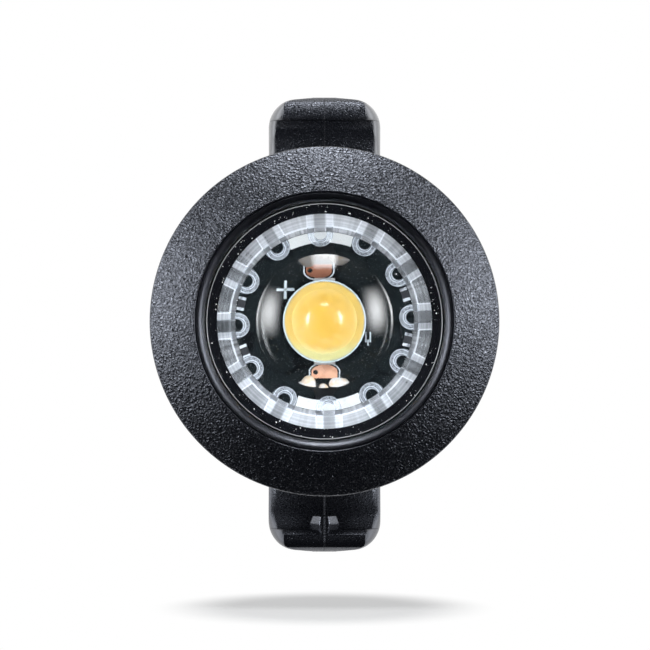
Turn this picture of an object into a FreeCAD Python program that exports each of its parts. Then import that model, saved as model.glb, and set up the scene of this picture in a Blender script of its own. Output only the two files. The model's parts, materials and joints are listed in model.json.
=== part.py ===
import FreeCAD, Part
import math
import os

from FreeCAD import Vector

# Small round bicycle headlight on a saddle base that an elastic band holds on a handlebar.
# Millimetres. The origin is on the handlebar's axis, +X runs along the handlebar, +Z is up
# and the light shines along -Y. A depth is a distance forward of the handlebar's axis.
# A radius is measured from the light's own axis, the Y axis. An angle round that axis
# starts at +X and grows anticlockwise as seen from the front.

# Handlebar, rubber pad and saddle base
BAR_RADIUS = 15.9
PAD_THICKNESS = 1.6
PAD_WIDTH = 16.0
PAD_HALF_ANGLE = 73.0
PAD_END_GAP = 0.5
LIP_SWEEP = 3.5
LIP_HEIGHT = 1.1
LIP_WALL = 1.1
BASE_WALL = 2.5
BASE_MARGIN = 0.6
WING_MARGIN = 1.1
CHEEK_HEIGHT = 8.0
PAD_RIB_DEPTH = 0.3
PAD_RIB_WIDTH = 0.6
PAD_RIB_COUNT = 5

# Screws that hold the base on the case
SCREW_MARGIN = 2.05
SCREW_RADIUS = 1.1
SCREW_LENGTH = 6.5
SCREW_HEAD_RADIUS = 1.9
SCREW_HEAD_HEIGHT = 1.3
SCREW_GRIP = 2.6
SCREW_CLEARANCE = 0.1
SOCKET_RADIUS = 0.8
SOCKET_DEPTH = 0.7
BOSS_WALL = 1.0
BOSS_END = 0.7

# Hook arms and the catch on the lower arm
ARM_WIDTH = 13.25
ARM_REACH_UP = 26.38
ARM_REACH_DOWN = 27.17
ARM_CORNER = 3.3
ARM_BURY = 2.6
ARM_FACE_ROUND = 0.7
ARM_BACK_ROUND = 1.2
ARM_BACK_DEPTH = 2.8
ARM_BACK_RISE = 7.1
ARM_BACK_SETBACK = 7.26
ROOT_FLARE = 3.2
GROOVE_START = 0.3
GROOVE_END = 3.2
GROOVE_SAG = 0.7
BEAD_RADIUS = 1.5
BEAD_STAND = 5.25
BEAD_STEP = 0.2
TIP_THICKNESS = 0.35
CATCH_TOP = 4.3
CATCH_HEIGHT = 2.35
CATCH_TOP_WIDTH = 2.8
CATCH_WIDTH = 3.65
CATCH_FOOT_WIDTH = 1.8
CATCH_STAND = 4.9
CATCH_TAPER = 0.62

# Coin cells and the case
CELL_RADIUS = 10.0
CELL_THICKNESS = 3.2
CELL_FOOT_RADIUS = 8.7
CELL_STEP = 0.3
CELL_GAP = 0.15
POCKET_WALL = 1.0
CASE_FLOOR = 1.6
CASE_GAP = 0.4
CASE_WALL = 1.9
CASE_DRAFT = 0.4
CASE_EDGE = 0.5
NECK_WALL = 1.5
NECK_LENGTH = 5.5
NECK_CHAMFER = 0.3
SPRING_STAND = 1.6
METAL = 0.2
STRIP_WIDTH = 2.4
STRIP_GAP = 0.2

# Battery cap
CAP_THICKNESS = 1.2
CAP_GAP = 0.15
ANVIL_RADIUS = 1.6
ANVIL_HEIGHT = 0.4
BEAD_COUNT = 3
CAP_BEAD_DEPTH = 0.35
CAP_BEAD_LENGTH = 0.4
CAP_BEAD_SWEEP = 20.0

# Bayonet between the case's neck and the bezel
TURN_ANGLE = 24.0
LUG_COUNT = 3
LUG_SWEEP = 14.0
LUG_HEIGHT = 0.6
LUG_LENGTH = 1.2
LUG_SETBACK = 1.0
LUG_GAP = 0.1
LUG_SIDE_GAP = 0.5
TRACK_GAP = 0.3
NECK_GAP = 0.1
SEAL_SETBACK = 1.4
SEAL_RADIUS = 0.4
SEAL_GAP = 0.03
SEAL_GROOVE = 1.0

# Switch and push unit
PRESS_TRAVEL = 0.4
PLUNGER_GAP = 0.05
PLUNGER_STAND = 0.55
PLUNGER_RADIUS = 0.9
PLUNGER_INSIDE = 0.7
PLUNGER_CLEARANCE = 0.05
SWITCH_HEIGHT = 1.6
SWITCH_SIZE = 4.5
SWITCH_CORNER = 0.5

# Circuit board and what it carries
BOARD_RADIUS = 13.0
BOARD_THICKNESS = 1.2
COPPER = 0.05
PAD_INNER = 1.1
PAD_OUTER = 3.85
PAD_HALF_WIDTH = 0.87
PAD_CORNER = 0.35
VIA_RADIUS = 0.17
VIA_OFFSET = 0.6
VIA_HEIGHT = 3.42
TAB_MARGIN = 0.1
TAB_WIDTH = 1.36
TAB_SWEEP = 44.4
TAB_CLOCK = 3.0
TAB_THICKNESS = 0.25
TONGUE_WIDTH = 2.2
TONGUE_INNER = 4.35
SOLDER_GAP = 0.02
SOLDER_RADIUS = 0.6
SOLDER_HEIGHT = 0.5
CHIP_LENGTH = 1.6
CHIP_WIDTH = 0.8
CHIP_HEIGHT = 0.38
CHIP_MARGIN = 0.75
CHIP_ANGLES = (-12.5, 18.5, 168.0, 200.6)
DRIVER_LENGTH = 4.9
DRIVER_WIDTH = 3.9
DRIVER_HEIGHT = 1.4
DRIVER_OFFSET = 6.4
LEAD_COUNT = 4
LEAD_PITCH = 1.27
LEAD_WIDTH = 0.4
LEAD_REACH = 1.0

# LED
LED_RADIUS = 3.07
LED_DRAFT = 0.37
LED_HEIGHT = 1.25
TERMINAL = 0.1
TERMINAL_WIDTH = 1.4
TERMINAL_INNER = 1.3
TERMINAL_OUTER = 2.9
CUP_WALL = 0.11
CUP_DEPTH = 0.45
CUP_DRAFT = 0.4
PHOSPHOR_SINK = 0.05
DOME_RADIUS = 2.4
DOME_HEIGHT = 1.55

# Lens and its carrier
BORE_STEP = 0.65
LENS_GAP = 0.21
LENS_SPACE = 7.2
PLATE_THICKNESS = 1.4
PLATE_EDGE = 0.15
BULGE_RADIUS = 7.92
BULGE_CURVE = 13.3
SKIRT_WALL = 1.5
SKIRT_STAND = 0.4
RIB_COUNT = 12
RIB_CLOCK = 2.7
RIB_WIDTH = 2.97
RIB_WALL = 0.77
RIB_REACH = 2.18
WINDOW_GAP = 0.05
CARRIER_GAP = 0.2
CARRIER_FRONT_WALL = 1.2
CARRIER_WALL = 1.25
FLANGE_OVER = 0.8
FLANGE_THICKNESS = 1.4
FLANGE_GAP = 0.05
FLANGE_SETBACK = 1.9
BOARD_GAP = 0.05
CARRIER_TAIL = 1.0
HOOK_COUNT = 3
HOOK_SWEEP = 16.0
HOOK_DEPTH = 0.4
HOOK_LENGTH = 0.5
GASKET_RADIUS = 0.4
GASKET_GROOVE = 1.0
GASKET_SETBACK = 0.9
GASKET_GAP = 0.04

# Bezel
BEZEL_OVERHANG = 2.0
BEZEL_STAND = 1.6
LIP_WIDTH = 0.99
CREASE_WIDTH = 0.22
CREASE_DEPTH = 0.2
CONE_DROP = 2.25
CONE_SAG = 0.12
EDGE_ROUND = 0.3
EDGE_THICKNESS = 0.75
BARREL_WALL = 1.7
BARREL_BLEND = 1.4
SHOULDER_GAP = 0.2
NECK_END_GAP = 0.3

# Depths that follow, from the handlebar forward
seat_radius = BAR_RADIUS + PAD_THICKNESS
case_rear = seat_radius + BASE_WALL
floor_depth = case_rear + CASE_FLOOR
cell_rear = floor_depth + SPRING_STAND
cell_front = cell_rear + 2 * CELL_THICKNESS
cap_rear = cell_front + METAL
cap_front = cap_rear + CAP_THICKNESS
anvil_top = cap_front + ANVIL_HEIGHT
neck_front = cap_front + NECK_LENGTH
lug_rear = cap_front + LUG_SETBACK
lug_front = lug_rear + LUG_LENGTH
seal_depth = neck_front - SEAL_SETBACK
plunger_end = anvil_top + PLUNGER_GAP
switch_rear = plunger_end + PLUNGER_STAND
board_rear = switch_rear + SWITCH_HEIGHT
board_front = board_rear + BOARD_THICKNESS
led_seat = board_front + COPPER
led_rear = led_seat + TERMINAL
led_front = led_rear + LED_HEIGHT
cup_radius = LED_RADIUS - CUP_WALL
cup_floor = led_front - CUP_DEPTH
phosphor_front = led_front - PHOSPHOR_SINK
phosphor_radius = cup_radius - CUP_DRAFT * PHOSPHOR_SINK / CUP_DEPTH
plate_rear = board_front + LENS_SPACE
plate_front = plate_rear + PLATE_THICKNESS
flange_front = plate_rear - FLANGE_SETBACK
flange_rear = flange_front - FLANGE_THICKNESS
carrier_rear = board_rear - CARRIER_TAIL
gasket_depth = plate_rear - GASKET_SETBACK
bezel_front = plate_front + BEZEL_STAND
bezel_edge = bezel_front - CONE_DROP
bezel_rear = cap_front + SHOULDER_GAP
neck_end = neck_front + NECK_END_GAP
stop_rear = flange_front + FLANGE_GAP
screw_seat = case_rear - SCREW_GRIP
screw_tip = screw_seat + SCREW_LENGTH

# Radii that follow, from the circuit board outwards
recess_radius = BOARD_RADIUS + BOARD_GAP
carrier_rear_radius = recess_radius + CARRIER_WALL
bore_radius = recess_radius + BORE_STEP
carrier_front_radius = bore_radius - CARRIER_GAP
flange_radius = bore_radius + FLANGE_OVER
lens_radius = bore_radius - LENS_GAP
window_radius = carrier_front_radius - CARRIER_FRONT_WALL
skirt_outer = window_radius - WINDOW_GAP
skirt_inner = skirt_outer - SKIRT_WALL
rib_tip = skirt_inner - RIB_REACH
tab_outer = skirt_inner - TAB_MARGIN
tab_inner = tab_outer - TAB_WIDTH
chip_ring = skirt_inner - CHIP_MARGIN
crease_radius = bore_radius + LIP_WIDTH
case_inner_radius = carrier_rear_radius + CASE_GAP
case_rear_radius = case_inner_radius + CASE_WALL
case_front_radius = case_rear_radius + CASE_DRAFT
neck_radius = case_inner_radius + NECK_WALL
skirt_radius = neck_radius + NECK_GAP
lug_radius = neck_radius + LUG_HEIGHT
barrel_radius = skirt_radius + BARREL_WALL
bezel_radius = barrel_radius + BEZEL_OVERHANG
cap_radius = case_inner_radius - CAP_GAP
pocket_radius = CELL_RADIUS + CELL_GAP
strip_run = pocket_radius + POCKET_WALL / 2
screw_offset = pocket_radius + SCREW_MARGIN
base_radius = case_front_radius + BASE_MARGIN
arm_root = base_radius - ARM_BURY


def face_of(points):
    """Flat face in the XY plane from corners (radius, depth); a corner with four values is
    the middle and the end of an arc."""
    edges = []
    ring = points + [points[0][:2]]
    here = Vector(ring[0][0], -ring[0][1], 0)
    for point in ring[1:]:
        end = Vector(point[-2], -point[-1], 0)
        if len(point) == 4:
            middle = Vector(point[0], -point[1], 0)
            edges.append(Part.Arc(here, middle, end).toShape())
        elif here.distanceToPoint(end) > 1e-6:
            edges.append(Part.LineSegment(here, end).toShape())
        here = end
    return Part.Face(Part.Wire(edges))


def turned(points, start=0.0, sweep=360.0):
    """Solid turned round the light's axis from a profile of (radius, depth) corners."""
    face = face_of(points)
    face.rotate(Vector(0, 0, 0), Vector(0, -1, 0), start)
    return face.revolve(Vector(0, 0, 0), Vector(0, -1, 0), sweep)


def ring(inner, outer, rear, front, start=0.0, sweep=360.0):
    """Plain ring, or a sector of it, between two radii and two depths."""
    return turned([(inner, rear), (outer, rear), (outer, front), (inner, front)], start, sweep)


def disc(radius, rear, front):
    return Part.makeCylinder(radius, front - rear, Vector(0, -rear, 0), Vector(0, -1, 0))


def post(radius, x, z, rear, front):
    """Cylinder along the light's direction at a place beside its axis."""
    return Part.makeCylinder(radius, front - rear, Vector(x, -rear, z), Vector(0, -1, 0))


def block(x_low, x_high, rear, front, z_low, z_high):
    corner = Vector(x_low, -front, z_low)
    return Part.makeBox(x_high - x_low, front - rear, z_high - z_low, corner)


def around(shape, angle):
    """Copy of a shape turned about the light's axis."""
    copy = shape.copy()
    copy.rotate(Vector(0, 0, 0), Vector(0, -1, 0), angle)
    return copy


def copies(shape, count, first):
    return [around(shape, first + 360.0 * k / count) for k in range(count)]


def fused(shapes):
    result = shapes[0]
    if len(shapes) > 1:
        result = shapes[0].multiFuse(shapes[1:])
    return result.removeSplitter()


def bar_point(radius, angle):
    """(height, depth) at a radius from the handlebar's axis, the angle from straight ahead."""
    return radius * math.sin(math.radians(angle)), radius * math.cos(math.radians(angle))


def extruded_along_bar(corners, half_width):
    """Solid along X from corners in the side view: a list of (height, depth), where an entry
    of four values holds the middle and the end of an arc."""
    edges = []
    loop = corners + [corners[0][:2]]
    here = Vector(-half_width, -loop[0][1], loop[0][0])
    for corner in loop[1:]:
        end = Vector(-half_width, -corner[-1], corner[-2])
        if len(corner) == 4:
            middle = Vector(-half_width, -corner[1], corner[0])
            edges.append(Part.Arc(here, middle, end).toShape())
        else:
            edges.append(Part.LineSegment(here, end).toShape())
        here = end
    return Part.Face(Part.Wire(edges)).extrude(Vector(2 * half_width, 0, 0))


def bent_strip(path, thickness, half_width):
    """Metal strip of constant thickness: its middle line runs through (x, depth) points,
    with mitred corners, and it is as wide along Z as twice half_width."""
    sides = ([], [])
    for k, (x, d) in enumerate(path):
        before = path[max(k - 1, 0)]
        after = path[min(k + 1, len(path) - 1)]
        start = before if k > 0 else (2 * x - after[0], 2 * d - after[1])
        end = after if k < len(path) - 1 else (2 * x - before[0], 2 * d - before[1])
        a = math.atan2(d - start[1], x - start[0])
        b = math.atan2(end[1] - d, end[0] - x)
        reach = thickness / 2 / math.cos((b - a) / 2)
        normal = (a + b) / 2 + math.pi / 2
        for side, sign in zip(sides, (1, -1)):
            side.append((x + sign * reach * math.cos(normal), d + sign * reach * math.sin(normal)))
    face = face_of(sides[0] + sides[1][::-1])
    face.translate(Vector(0, 0, -half_width))
    return face.extrude(Vector(0, 0, 2 * half_width))


def saddle_block():
    """Round base block with the seat for the pad, and two wings that reach round the
    handlebar with a lip at the end of each."""
    lip_start = PAD_HALF_ANGLE + PAD_END_GAP
    lip_end = lip_start + LIP_SWEEP
    half = [
        (base_radius, case_rear),
        (base_radius, case_rear - CHEEK_HEIGHT),
        bar_point(seat_radius + LIP_WALL, lip_end),
        bar_point(seat_radius - LIP_HEIGHT, lip_end),
        bar_point(seat_radius - LIP_HEIGHT, lip_start),
        bar_point(seat_radius, lip_start),
    ]
    mirrored = [(-height, depth) for height, depth in half]
    seat = (0.0, seat_radius) + mirrored[-1]
    profile = half + [seat] + mirrored[-2::-1]
    solid = extruded_along_bar(profile, base_radius)
    half_wing = PAD_WIDTH / 2 + WING_MARGIN
    reach = seat_radius + LIP_WALL
    wings = block(-half_wing, half_wing, 0.0, case_rear, -reach, reach)
    return solid.common(fused([disc(base_radius, 0.0, case_rear), wings]))


def groove_depth(height, start, end):
    """Depth of the groove's face: a chord from start to end, each (height, depth), hollowed
    by a parabola as deep as the sag."""
    share = (height - start[0]) / (end[0] - start[0])
    return start[1] + share * (end[1] - start[1]) - 4 * GROOVE_SAG * share * (1 - share)


def arm_stations(reach):
    """Cross-sections of an arm from root to tip: height, front depth and corner round."""
    bead_centre = reach - BEAD_RADIUS
    bead_foot = bead_centre - 0.8 * BEAD_RADIUS
    start = (base_radius + CELL_GAP, case_rear + GROOVE_START)
    end = (bead_foot, case_rear + GROOVE_END)
    stations = [(arm_root, case_rear, ARM_FACE_ROUND)]
    stations.append((base_radius - GROOVE_START, case_rear, ARM_FACE_ROUND))
    groove_steps = 6
    for k in range(groove_steps + 1):
        height = start[0] + (end[0] - start[0]) * k / groove_steps
        stations.append((height, groove_depth(height, start, end), ARM_FACE_ROUND))
    bead_steps = 9
    first = math.radians(135.0)
    for k in range(bead_steps + 1):
        angle = first * (1 - k / bead_steps)
        height = bead_centre + BEAD_RADIUS * math.cos(angle)
        depth = case_rear + BEAD_STAND - BEAD_RADIUS * (1 - math.sin(angle))
        height = max(height, bead_foot + BEAD_STEP + 0.01 * k)
        stations.append((height, depth, BEAD_RADIUS))
    return stations


def arm_back(height, reach):
    """Depth of the arm's back: flared at the root, a quarter of an ellipse to the tip."""
    knee = reach - ARM_BACK_SETBACK
    flat = case_rear - ARM_BACK_DEPTH
    if height < knee:
        return flat - ROOT_FLARE * ((knee - height) / (knee - arm_root)) ** 2
    share = (height - knee) / ARM_BACK_SETBACK
    return flat + ARM_BACK_RISE * (1 - math.sqrt(max(1 - share * share, 0.0)))


def arm_half_width(height, reach):
    """Half width of the arm as seen from the front: straight sides, rounded corners and an
    end crowned about the light's axis."""
    corner_x = ARM_WIDTH / 2 - ARM_CORNER
    corner_z = math.sqrt(reach ** 2 - corner_x ** 2) - ARM_CORNER
    if height <= corner_z:
        return ARM_WIDTH / 2
    if height <= corner_z + ARM_CORNER:
        return corner_x + math.sqrt(ARM_CORNER ** 2 - (height - corner_z) ** 2)
    return math.sqrt(max(reach ** 2 - height ** 2, 0.0))


def arm_section(height, front, rear, half_width, face_round, back_round):
    """Closed wire across the arm: a rectangle with rounded corners, level with its height."""
    room = 0.45 * min(front - rear, 2 * half_width)
    face_round = min(face_round, room)
    back_round = min(back_round, room)
    diagonal = 1 - math.sqrt(0.5)
    corners = (
        (half_width, rear, -1, 1, back_round),
        (half_width, front, -1, -1, face_round),
        (-half_width, front, 1, -1, face_round),
        (-half_width, rear, 1, 1, back_round),
    )
    arcs = []
    for k, (x, d, to_x, to_d, r) in enumerate(corners):
        along_x = Vector(x + to_x * r, -d, height)
        along_d = Vector(x, -(d + to_d * r), height)
        middle = Vector(x + to_x * r * diagonal, -(d + to_d * r * diagonal), height)
        ends = (along_x, along_d) if k % 2 == 0 else (along_d, along_x)
        arcs.append((ends[0], middle, ends[1]))
    edges = []
    for k, (begin, middle, end) in enumerate(arcs):
        edges.append(Part.Arc(begin, middle, end).toShape())
        edges.append(Part.LineSegment(end, arcs[(k + 1) % 4][0]).toShape())
    return Part.Wire(edges)


def hook_arm(reach):
    """Upper hook arm: band groove, bead and rounded tip, as a ruled loft of its sections."""
    wires = []
    for height, front, face_round in arm_stations(reach):
        height = min(height, reach - 0.01)
        half_width = max(arm_half_width(height, reach), 4 * TIP_THICKNESS)
        rear = min(arm_back(height, reach), front - TIP_THICKNESS)
        wires.append(arm_section(height, front, rear, half_width, face_round, ARM_BACK_ROUND))
    return Part.makeLoft(wires, True, True)


def band_catch(reach):
    """Small faceted catch on the lower arm, tapering forward from the groove."""
    top = -(reach - CATCH_TOP)
    outline = (
        (CATCH_TOP_WIDTH / 2, 0.0),
        (CATCH_WIDTH / 2, -0.45 * CATCH_HEIGHT),
        (CATCH_FOOT_WIDTH / 2, -CATCH_HEIGHT),
    )
    points = list(outline) + [(-x, z) for x, z in outline[::-1]]
    middle = -CATCH_HEIGHT / 2
    wires = []
    levels = (
        (case_rear, 1.0),
        (case_rear + GROOVE_START, 1.0),
        (case_rear + CATCH_STAND, CATCH_TAPER),
    )
    for depth, scale in levels:
        corners = [
            Vector(x * scale, -depth, top + middle + (z - middle) * scale) for x, z in points
        ]
        wires.append(Part.makePolygon(corners + corners[:1]))
    return Part.makeLoft(wires, True, True)


def mount_base():
    upper = hook_arm(ARM_REACH_UP)
    lower = hook_arm(ARM_REACH_DOWN)
    lower.rotate(Vector(0, 0, 0), Vector(0, -1, 0), 180)
    solid = fused([saddle_block(), upper, lower, band_catch(ARM_REACH_DOWN)])
    for z in (screw_offset, -screw_offset):
        solid = solid.cut(post(SCREW_RADIUS + SCREW_CLEARANCE, 0, z, 0, case_rear + 1))
        solid = solid.cut(post(SCREW_HEAD_RADIUS + SCREW_CLEARANCE, 0, z, 0, screw_seat))
    return solid


def base_screws():
    """Two pan-head screws, heads towards the handlebar under the pad."""
    screws = []
    for z in (screw_offset, -screw_offset):
        head = post(SCREW_HEAD_RADIUS, 0, z, screw_seat - SCREW_HEAD_HEIGHT, screw_seat)
        head = head.makeFillet(0.3 * SCREW_HEAD_HEIGHT, [rear_edge(head)])
        shank = post(SCREW_RADIUS, 0, z, screw_seat, screw_tip)
        socket_floor = screw_seat - SCREW_HEAD_HEIGHT + SOCKET_DEPTH
        corners = [
            Vector(
                SOCKET_RADIUS * math.cos(math.radians(60 * k)),
                -(screw_seat - SCREW_HEAD_HEIGHT - 1),
                z + SOCKET_RADIUS * math.sin(math.radians(60 * k)),
            )
            for k in range(6)
        ]
        hexagon = Part.Face(Part.makePolygon(corners + corners[:1]))
        length = socket_floor - (screw_seat - SCREW_HEAD_HEIGHT - 1)
        socket = hexagon.extrude(Vector(0, -length, 0))
        screws.append(head.fuse(shank).cut(socket).removeSplitter())
    return Part.makeCompound(screws)


def rear_edge(solid):
    """Round edge of a post at its end nearest the handlebar."""
    rounds = [edge for edge in solid.Edges if edge.Curve.TypeId == "Part::GeomCircle"]
    return max(rounds, key=lambda edge: edge.BoundBox.YMax)


def saddle_pad():
    """Rubber pad curved to the handlebar, with shallow grip grooves along it."""
    outer_top = bar_point(seat_radius, PAD_HALF_ANGLE)
    inner_top = bar_point(BAR_RADIUS, PAD_HALF_ANGLE)
    profile = [
        (-outer_top[0], outer_top[1]),
        (0.0, seat_radius) + outer_top,
        inner_top,
        (0.0, BAR_RADIUS, -inner_top[0], inner_top[1]),
    ]
    pad = extruded_along_bar(profile, PAD_WIDTH / 2)
    pitch = 2 * PAD_HALF_ANGLE / (PAD_RIB_COUNT + 1)
    for k in range(1, PAD_RIB_COUNT + 1):
        groove = Part.makeBox(
            PAD_WIDTH + 2,
            PAD_RIB_DEPTH + 1,
            PAD_RIB_WIDTH,
            Vector(-PAD_WIDTH / 2 - 1, -BAR_RADIUS - PAD_RIB_DEPTH, -PAD_RIB_WIDTH / 2),
        )
        groove.rotate(Vector(0, 0, 0), Vector(1, 0, 0), -PAD_HALF_ANGLE + k * pitch)
        pad = pad.cut(groove)
    return pad


def rear_case():
    """Cup with the cell pocket, screw bosses, snap beads, seal groove and bayonet lugs."""
    groove_floor = skirt_radius - SEAL_GAP - 2 * SEAL_RADIUS
    groove_rear = seal_depth - SEAL_GROOVE / 2
    groove_front = seal_depth + SEAL_GROOVE / 2
    shell = turned([
        (0, case_rear),
        (case_rear_radius - CASE_EDGE, case_rear),
        (case_rear_radius, case_rear + CASE_EDGE),
        (case_front_radius, cap_front),
        (neck_radius, cap_front),
        (neck_radius, groove_rear),
        (groove_floor, groove_rear),
        (groove_floor, groove_front),
        (neck_radius, groove_front),
        (neck_radius, neck_front - NECK_CHAMFER),
        (neck_radius - NECK_CHAMFER, neck_front),
        (case_inner_radius, neck_front),
        (case_inner_radius, floor_depth),
        (0, floor_depth),
    ])
    wall = ring(pocket_radius, pocket_radius + POCKET_WALL, case_rear + CASE_FLOOR / 2, cap_rear)
    bosses = [
        post(SCREW_RADIUS + BOSS_WALL, 0, z, case_rear + CASE_FLOOR / 2, screw_tip + BOSS_END)
        for z in (screw_offset, -screw_offset)
    ]
    lug = ring(
        neck_radius - NECK_WALL / 2, lug_radius, lug_rear, lug_front, -LUG_SWEEP / 2, LUG_SWEEP
    )
    bead_rear = cap_front + 0.05
    bead = turned(
        [
            (case_inner_radius - CAP_BEAD_DEPTH, bead_rear),
            (case_inner_radius + NECK_WALL / 2, bead_rear),
            (case_inner_radius + NECK_WALL / 2, bead_rear + CAP_BEAD_LENGTH),
            (case_inner_radius, bead_rear + CAP_BEAD_LENGTH),
        ],
        -CAP_BEAD_SWEEP / 2,
        CAP_BEAD_SWEEP,
    )
    lugs = copies(lug, LUG_COUNT, 90)
    beads = copies(bead, BEAD_COUNT, 30)
    solid = fused([shell, wall] + bosses + lugs + beads)
    solid = solid.cut(disc(pocket_radius, floor_depth, cap_rear + 1))
    half_slot = STRIP_WIDTH / 2 + STRIP_GAP
    slot_end = -pocket_radius - 2 * POCKET_WALL
    solid = solid.cut(block(slot_end, 0, floor_depth, cap_rear + 1, -half_slot, half_slot))
    for z in (screw_offset, -screw_offset):
        solid = solid.cut(post(SCREW_RADIUS, 0, z, case_rear - 1, screw_tip))
    return solid


def case_seal():
    ring_centre = skirt_radius - SEAL_GAP - SEAL_RADIUS
    return Part.makeTorus(ring_centre, SEAL_RADIUS, Vector(0, -seal_depth, 0), Vector(0, 1, 0))


def coin_cell(rear):
    """Coin cell: the stepped negative face to the rear, the flat positive face to the front."""
    front = rear + CELL_THICKNESS
    return turned([
        (0, rear),
        (CELL_FOOT_RADIUS - CELL_STEP, rear),
        (CELL_FOOT_RADIUS, rear + CELL_STEP),
        (CELL_RADIUS - 2 * CELL_STEP, rear + CELL_STEP),
        (CELL_RADIUS, rear + 3 * CELL_STEP),
        (CELL_RADIUS, front - CELL_STEP),
        (CELL_RADIUS - CELL_STEP, front),
        (0, front),
    ])


def negative_spring():
    """Stamped contact under the rear cell: a disc with three sprung fingers."""
    rim = 0.6 * CELL_RADIUS
    plate = disc(rim, floor_depth, floor_depth + METAL)
    middle = floor_depth + METAL / 2
    finger = bent_strip(
        [(0.9 * rim, middle), (0.3 * rim, cell_rear - METAL), (0.12 * rim, cell_rear - METAL)],
        METAL,
        STRIP_WIDTH / 4,
    )
    finger.translate(Vector(0, -METAL / 4, 0))
    return fused([plate] + copies(finger, 3, 0))


def blade_path(out, tip):
    """Last part of a contact blade: up beside the cells, then slanting in to the board."""
    knee = cap_front + 0.8
    return [(out, knee), (tip, board_rear - 0.7 * METAL)]


def negative_strip():
    """Strip from the negative spring up the pocket's slot to a blade against the board."""
    low = floor_depth + 1.5 * METAL
    start = 0.45 * CELL_RADIUS
    path = [(-start, low), (-strip_run, low)] + blade_path(-strip_run, -0.7 * strip_run)
    return bent_strip(path, METAL, STRIP_WIDTH / 2)


def positive_contact():
    """Strip on the front cell's positive face, up through the cap to a blade."""
    out = 0.86 * CELL_RADIUS
    level = cell_front + METAL / 2
    path = [(0.1 * CELL_RADIUS, level), (out, level)] + blade_path(out, 0.6 * out)
    return bent_strip(path, METAL, STRIP_WIDTH / 2)


def battery_cap():
    """Inner cover over the cells; its raised centre is what the switch works against."""
    solid = fused([
        disc(cap_radius, cap_rear, cap_front),
        disc(ANVIL_RADIUS, cap_front - CAP_THICKNESS / 2, anvil_top),
    ])
    half = STRIP_WIDTH / 2 + STRIP_GAP
    window = METAL / 2 + STRIP_GAP
    for x in (0.86 * CELL_RADIUS, -strip_run):
        solid = solid.cut(block(x - window, x + window, cap_rear - 1, cap_front + 1, -half, half))
    return solid


def circuit_board():
    return disc(BOARD_RADIUS, board_rear, board_front)


def copper_pads():
    """Two copper pads that reach out from under the LED, each with a plated hole."""
    pads = []
    for sign in (1, -1):
        z_low = min(sign * PAD_INNER, sign * PAD_OUTER)
        z_high = z_low + PAD_OUTER - PAD_INNER
        pad = block(-PAD_HALF_WIDTH, PAD_HALF_WIDTH, board_front, led_seat, z_low, z_high)
        uprights = [edge for edge in pad.Edges if edge.BoundBox.YLength > COPPER / 2]
        pad = pad.makeFillet(PAD_CORNER, uprights)
        hole = post(VIA_RADIUS, -VIA_OFFSET, sign * VIA_HEIGHT, board_front - 1, led_seat + 1)
        pads.append(pad.cut(hole))
    return Part.makeCompound(pads)


def contact_tabs():
    """Two arc-shaped metal tabs near the board's edge, each with a tongue to its solder."""
    tabs = []
    front = board_front + TAB_THICKNESS
    for middle in (90.0, 270.0):
        start = middle + TAB_CLOCK - TAB_SWEEP / 2
        arc = ring(tab_inner, tab_outer, board_front, front, start, TAB_SWEEP)
        half = TONGUE_WIDTH / 2
        tongue = block(-half, half, board_front, front, TONGUE_INNER, tab_inner + TAB_THICKNESS)
        tabs.append(fused([arc, around(tongue, middle - 90.0)]))
    return Part.makeCompound(tabs)


def solder_joints():
    """A solder mound on each side of each tongue."""
    mounds = []
    curve = (SOLDER_RADIUS ** 2 + SOLDER_HEIGHT ** 2) / (2 * SOLDER_HEIGHT)
    offset = TONGUE_WIDTH / 2 + SOLDER_GAP + SOLDER_RADIUS
    above = disc(BOARD_RADIUS, board_front, board_front + 2 * curve)
    for sign in (1, -1):
        z = sign * TONGUE_INNER
        for x in (-offset, offset):
            ball = Part.makeSphere(curve, Vector(x, -(board_front + SOLDER_HEIGHT - curve), z))
            mounds.append(ball.common(above))
    return Part.makeCompound(mounds)


def chip_resistors():
    """Four small surface-mounted parts in a ring, long side along the ring."""
    chips = []
    for angle in CHIP_ANGLES:
        chip = block(
            chip_ring - CHIP_WIDTH / 2,
            chip_ring + CHIP_WIDTH / 2,
            board_front,
            board_front + CHIP_HEIGHT,
            -CHIP_LENGTH / 2,
            CHIP_LENGTH / 2,
        )
        chips.append(around(chip, angle))
    return Part.makeCompound(chips)


def driver_chip():
    """Eight-leg driver on the board's rear."""
    body_front = board_rear - 0.1
    body = block(
        -DRIVER_LENGTH / 2,
        DRIVER_LENGTH / 2,
        body_front - DRIVER_HEIGHT,
        body_front,
        DRIVER_OFFSET - DRIVER_WIDTH / 2,
        DRIVER_OFFSET + DRIVER_WIDTH / 2,
    )
    legs = []
    for k in range(LEAD_COUNT):
        x = (k - (LEAD_COUNT - 1) / 2) * LEAD_PITCH
        for sign in (1, -1):
            root = DRIVER_OFFSET + sign * (DRIVER_WIDTH / 2 - METAL)
            foot = DRIVER_OFFSET + sign * (DRIVER_WIDTH / 2 + LEAD_REACH)
            knee = DRIVER_OFFSET + sign * (DRIVER_WIDTH / 2 + LEAD_REACH / 2)
            level = body_front - DRIVER_HEIGHT / 2
            left = x - LEAD_WIDTH / 2
            right = x + LEAD_WIDTH / 2
            toe_level = board_rear - METAL
            legs.append(block(left, right, level, level + METAL, min(root, knee), max(root, knee)))
            legs.append(block(left, right, level, board_rear, knee - METAL / 2, knee + METAL / 2))
            legs.append(block(left, right, toe_level, board_rear, min(knee, foot), max(knee, foot)))
    return fused([body] + legs)


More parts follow.
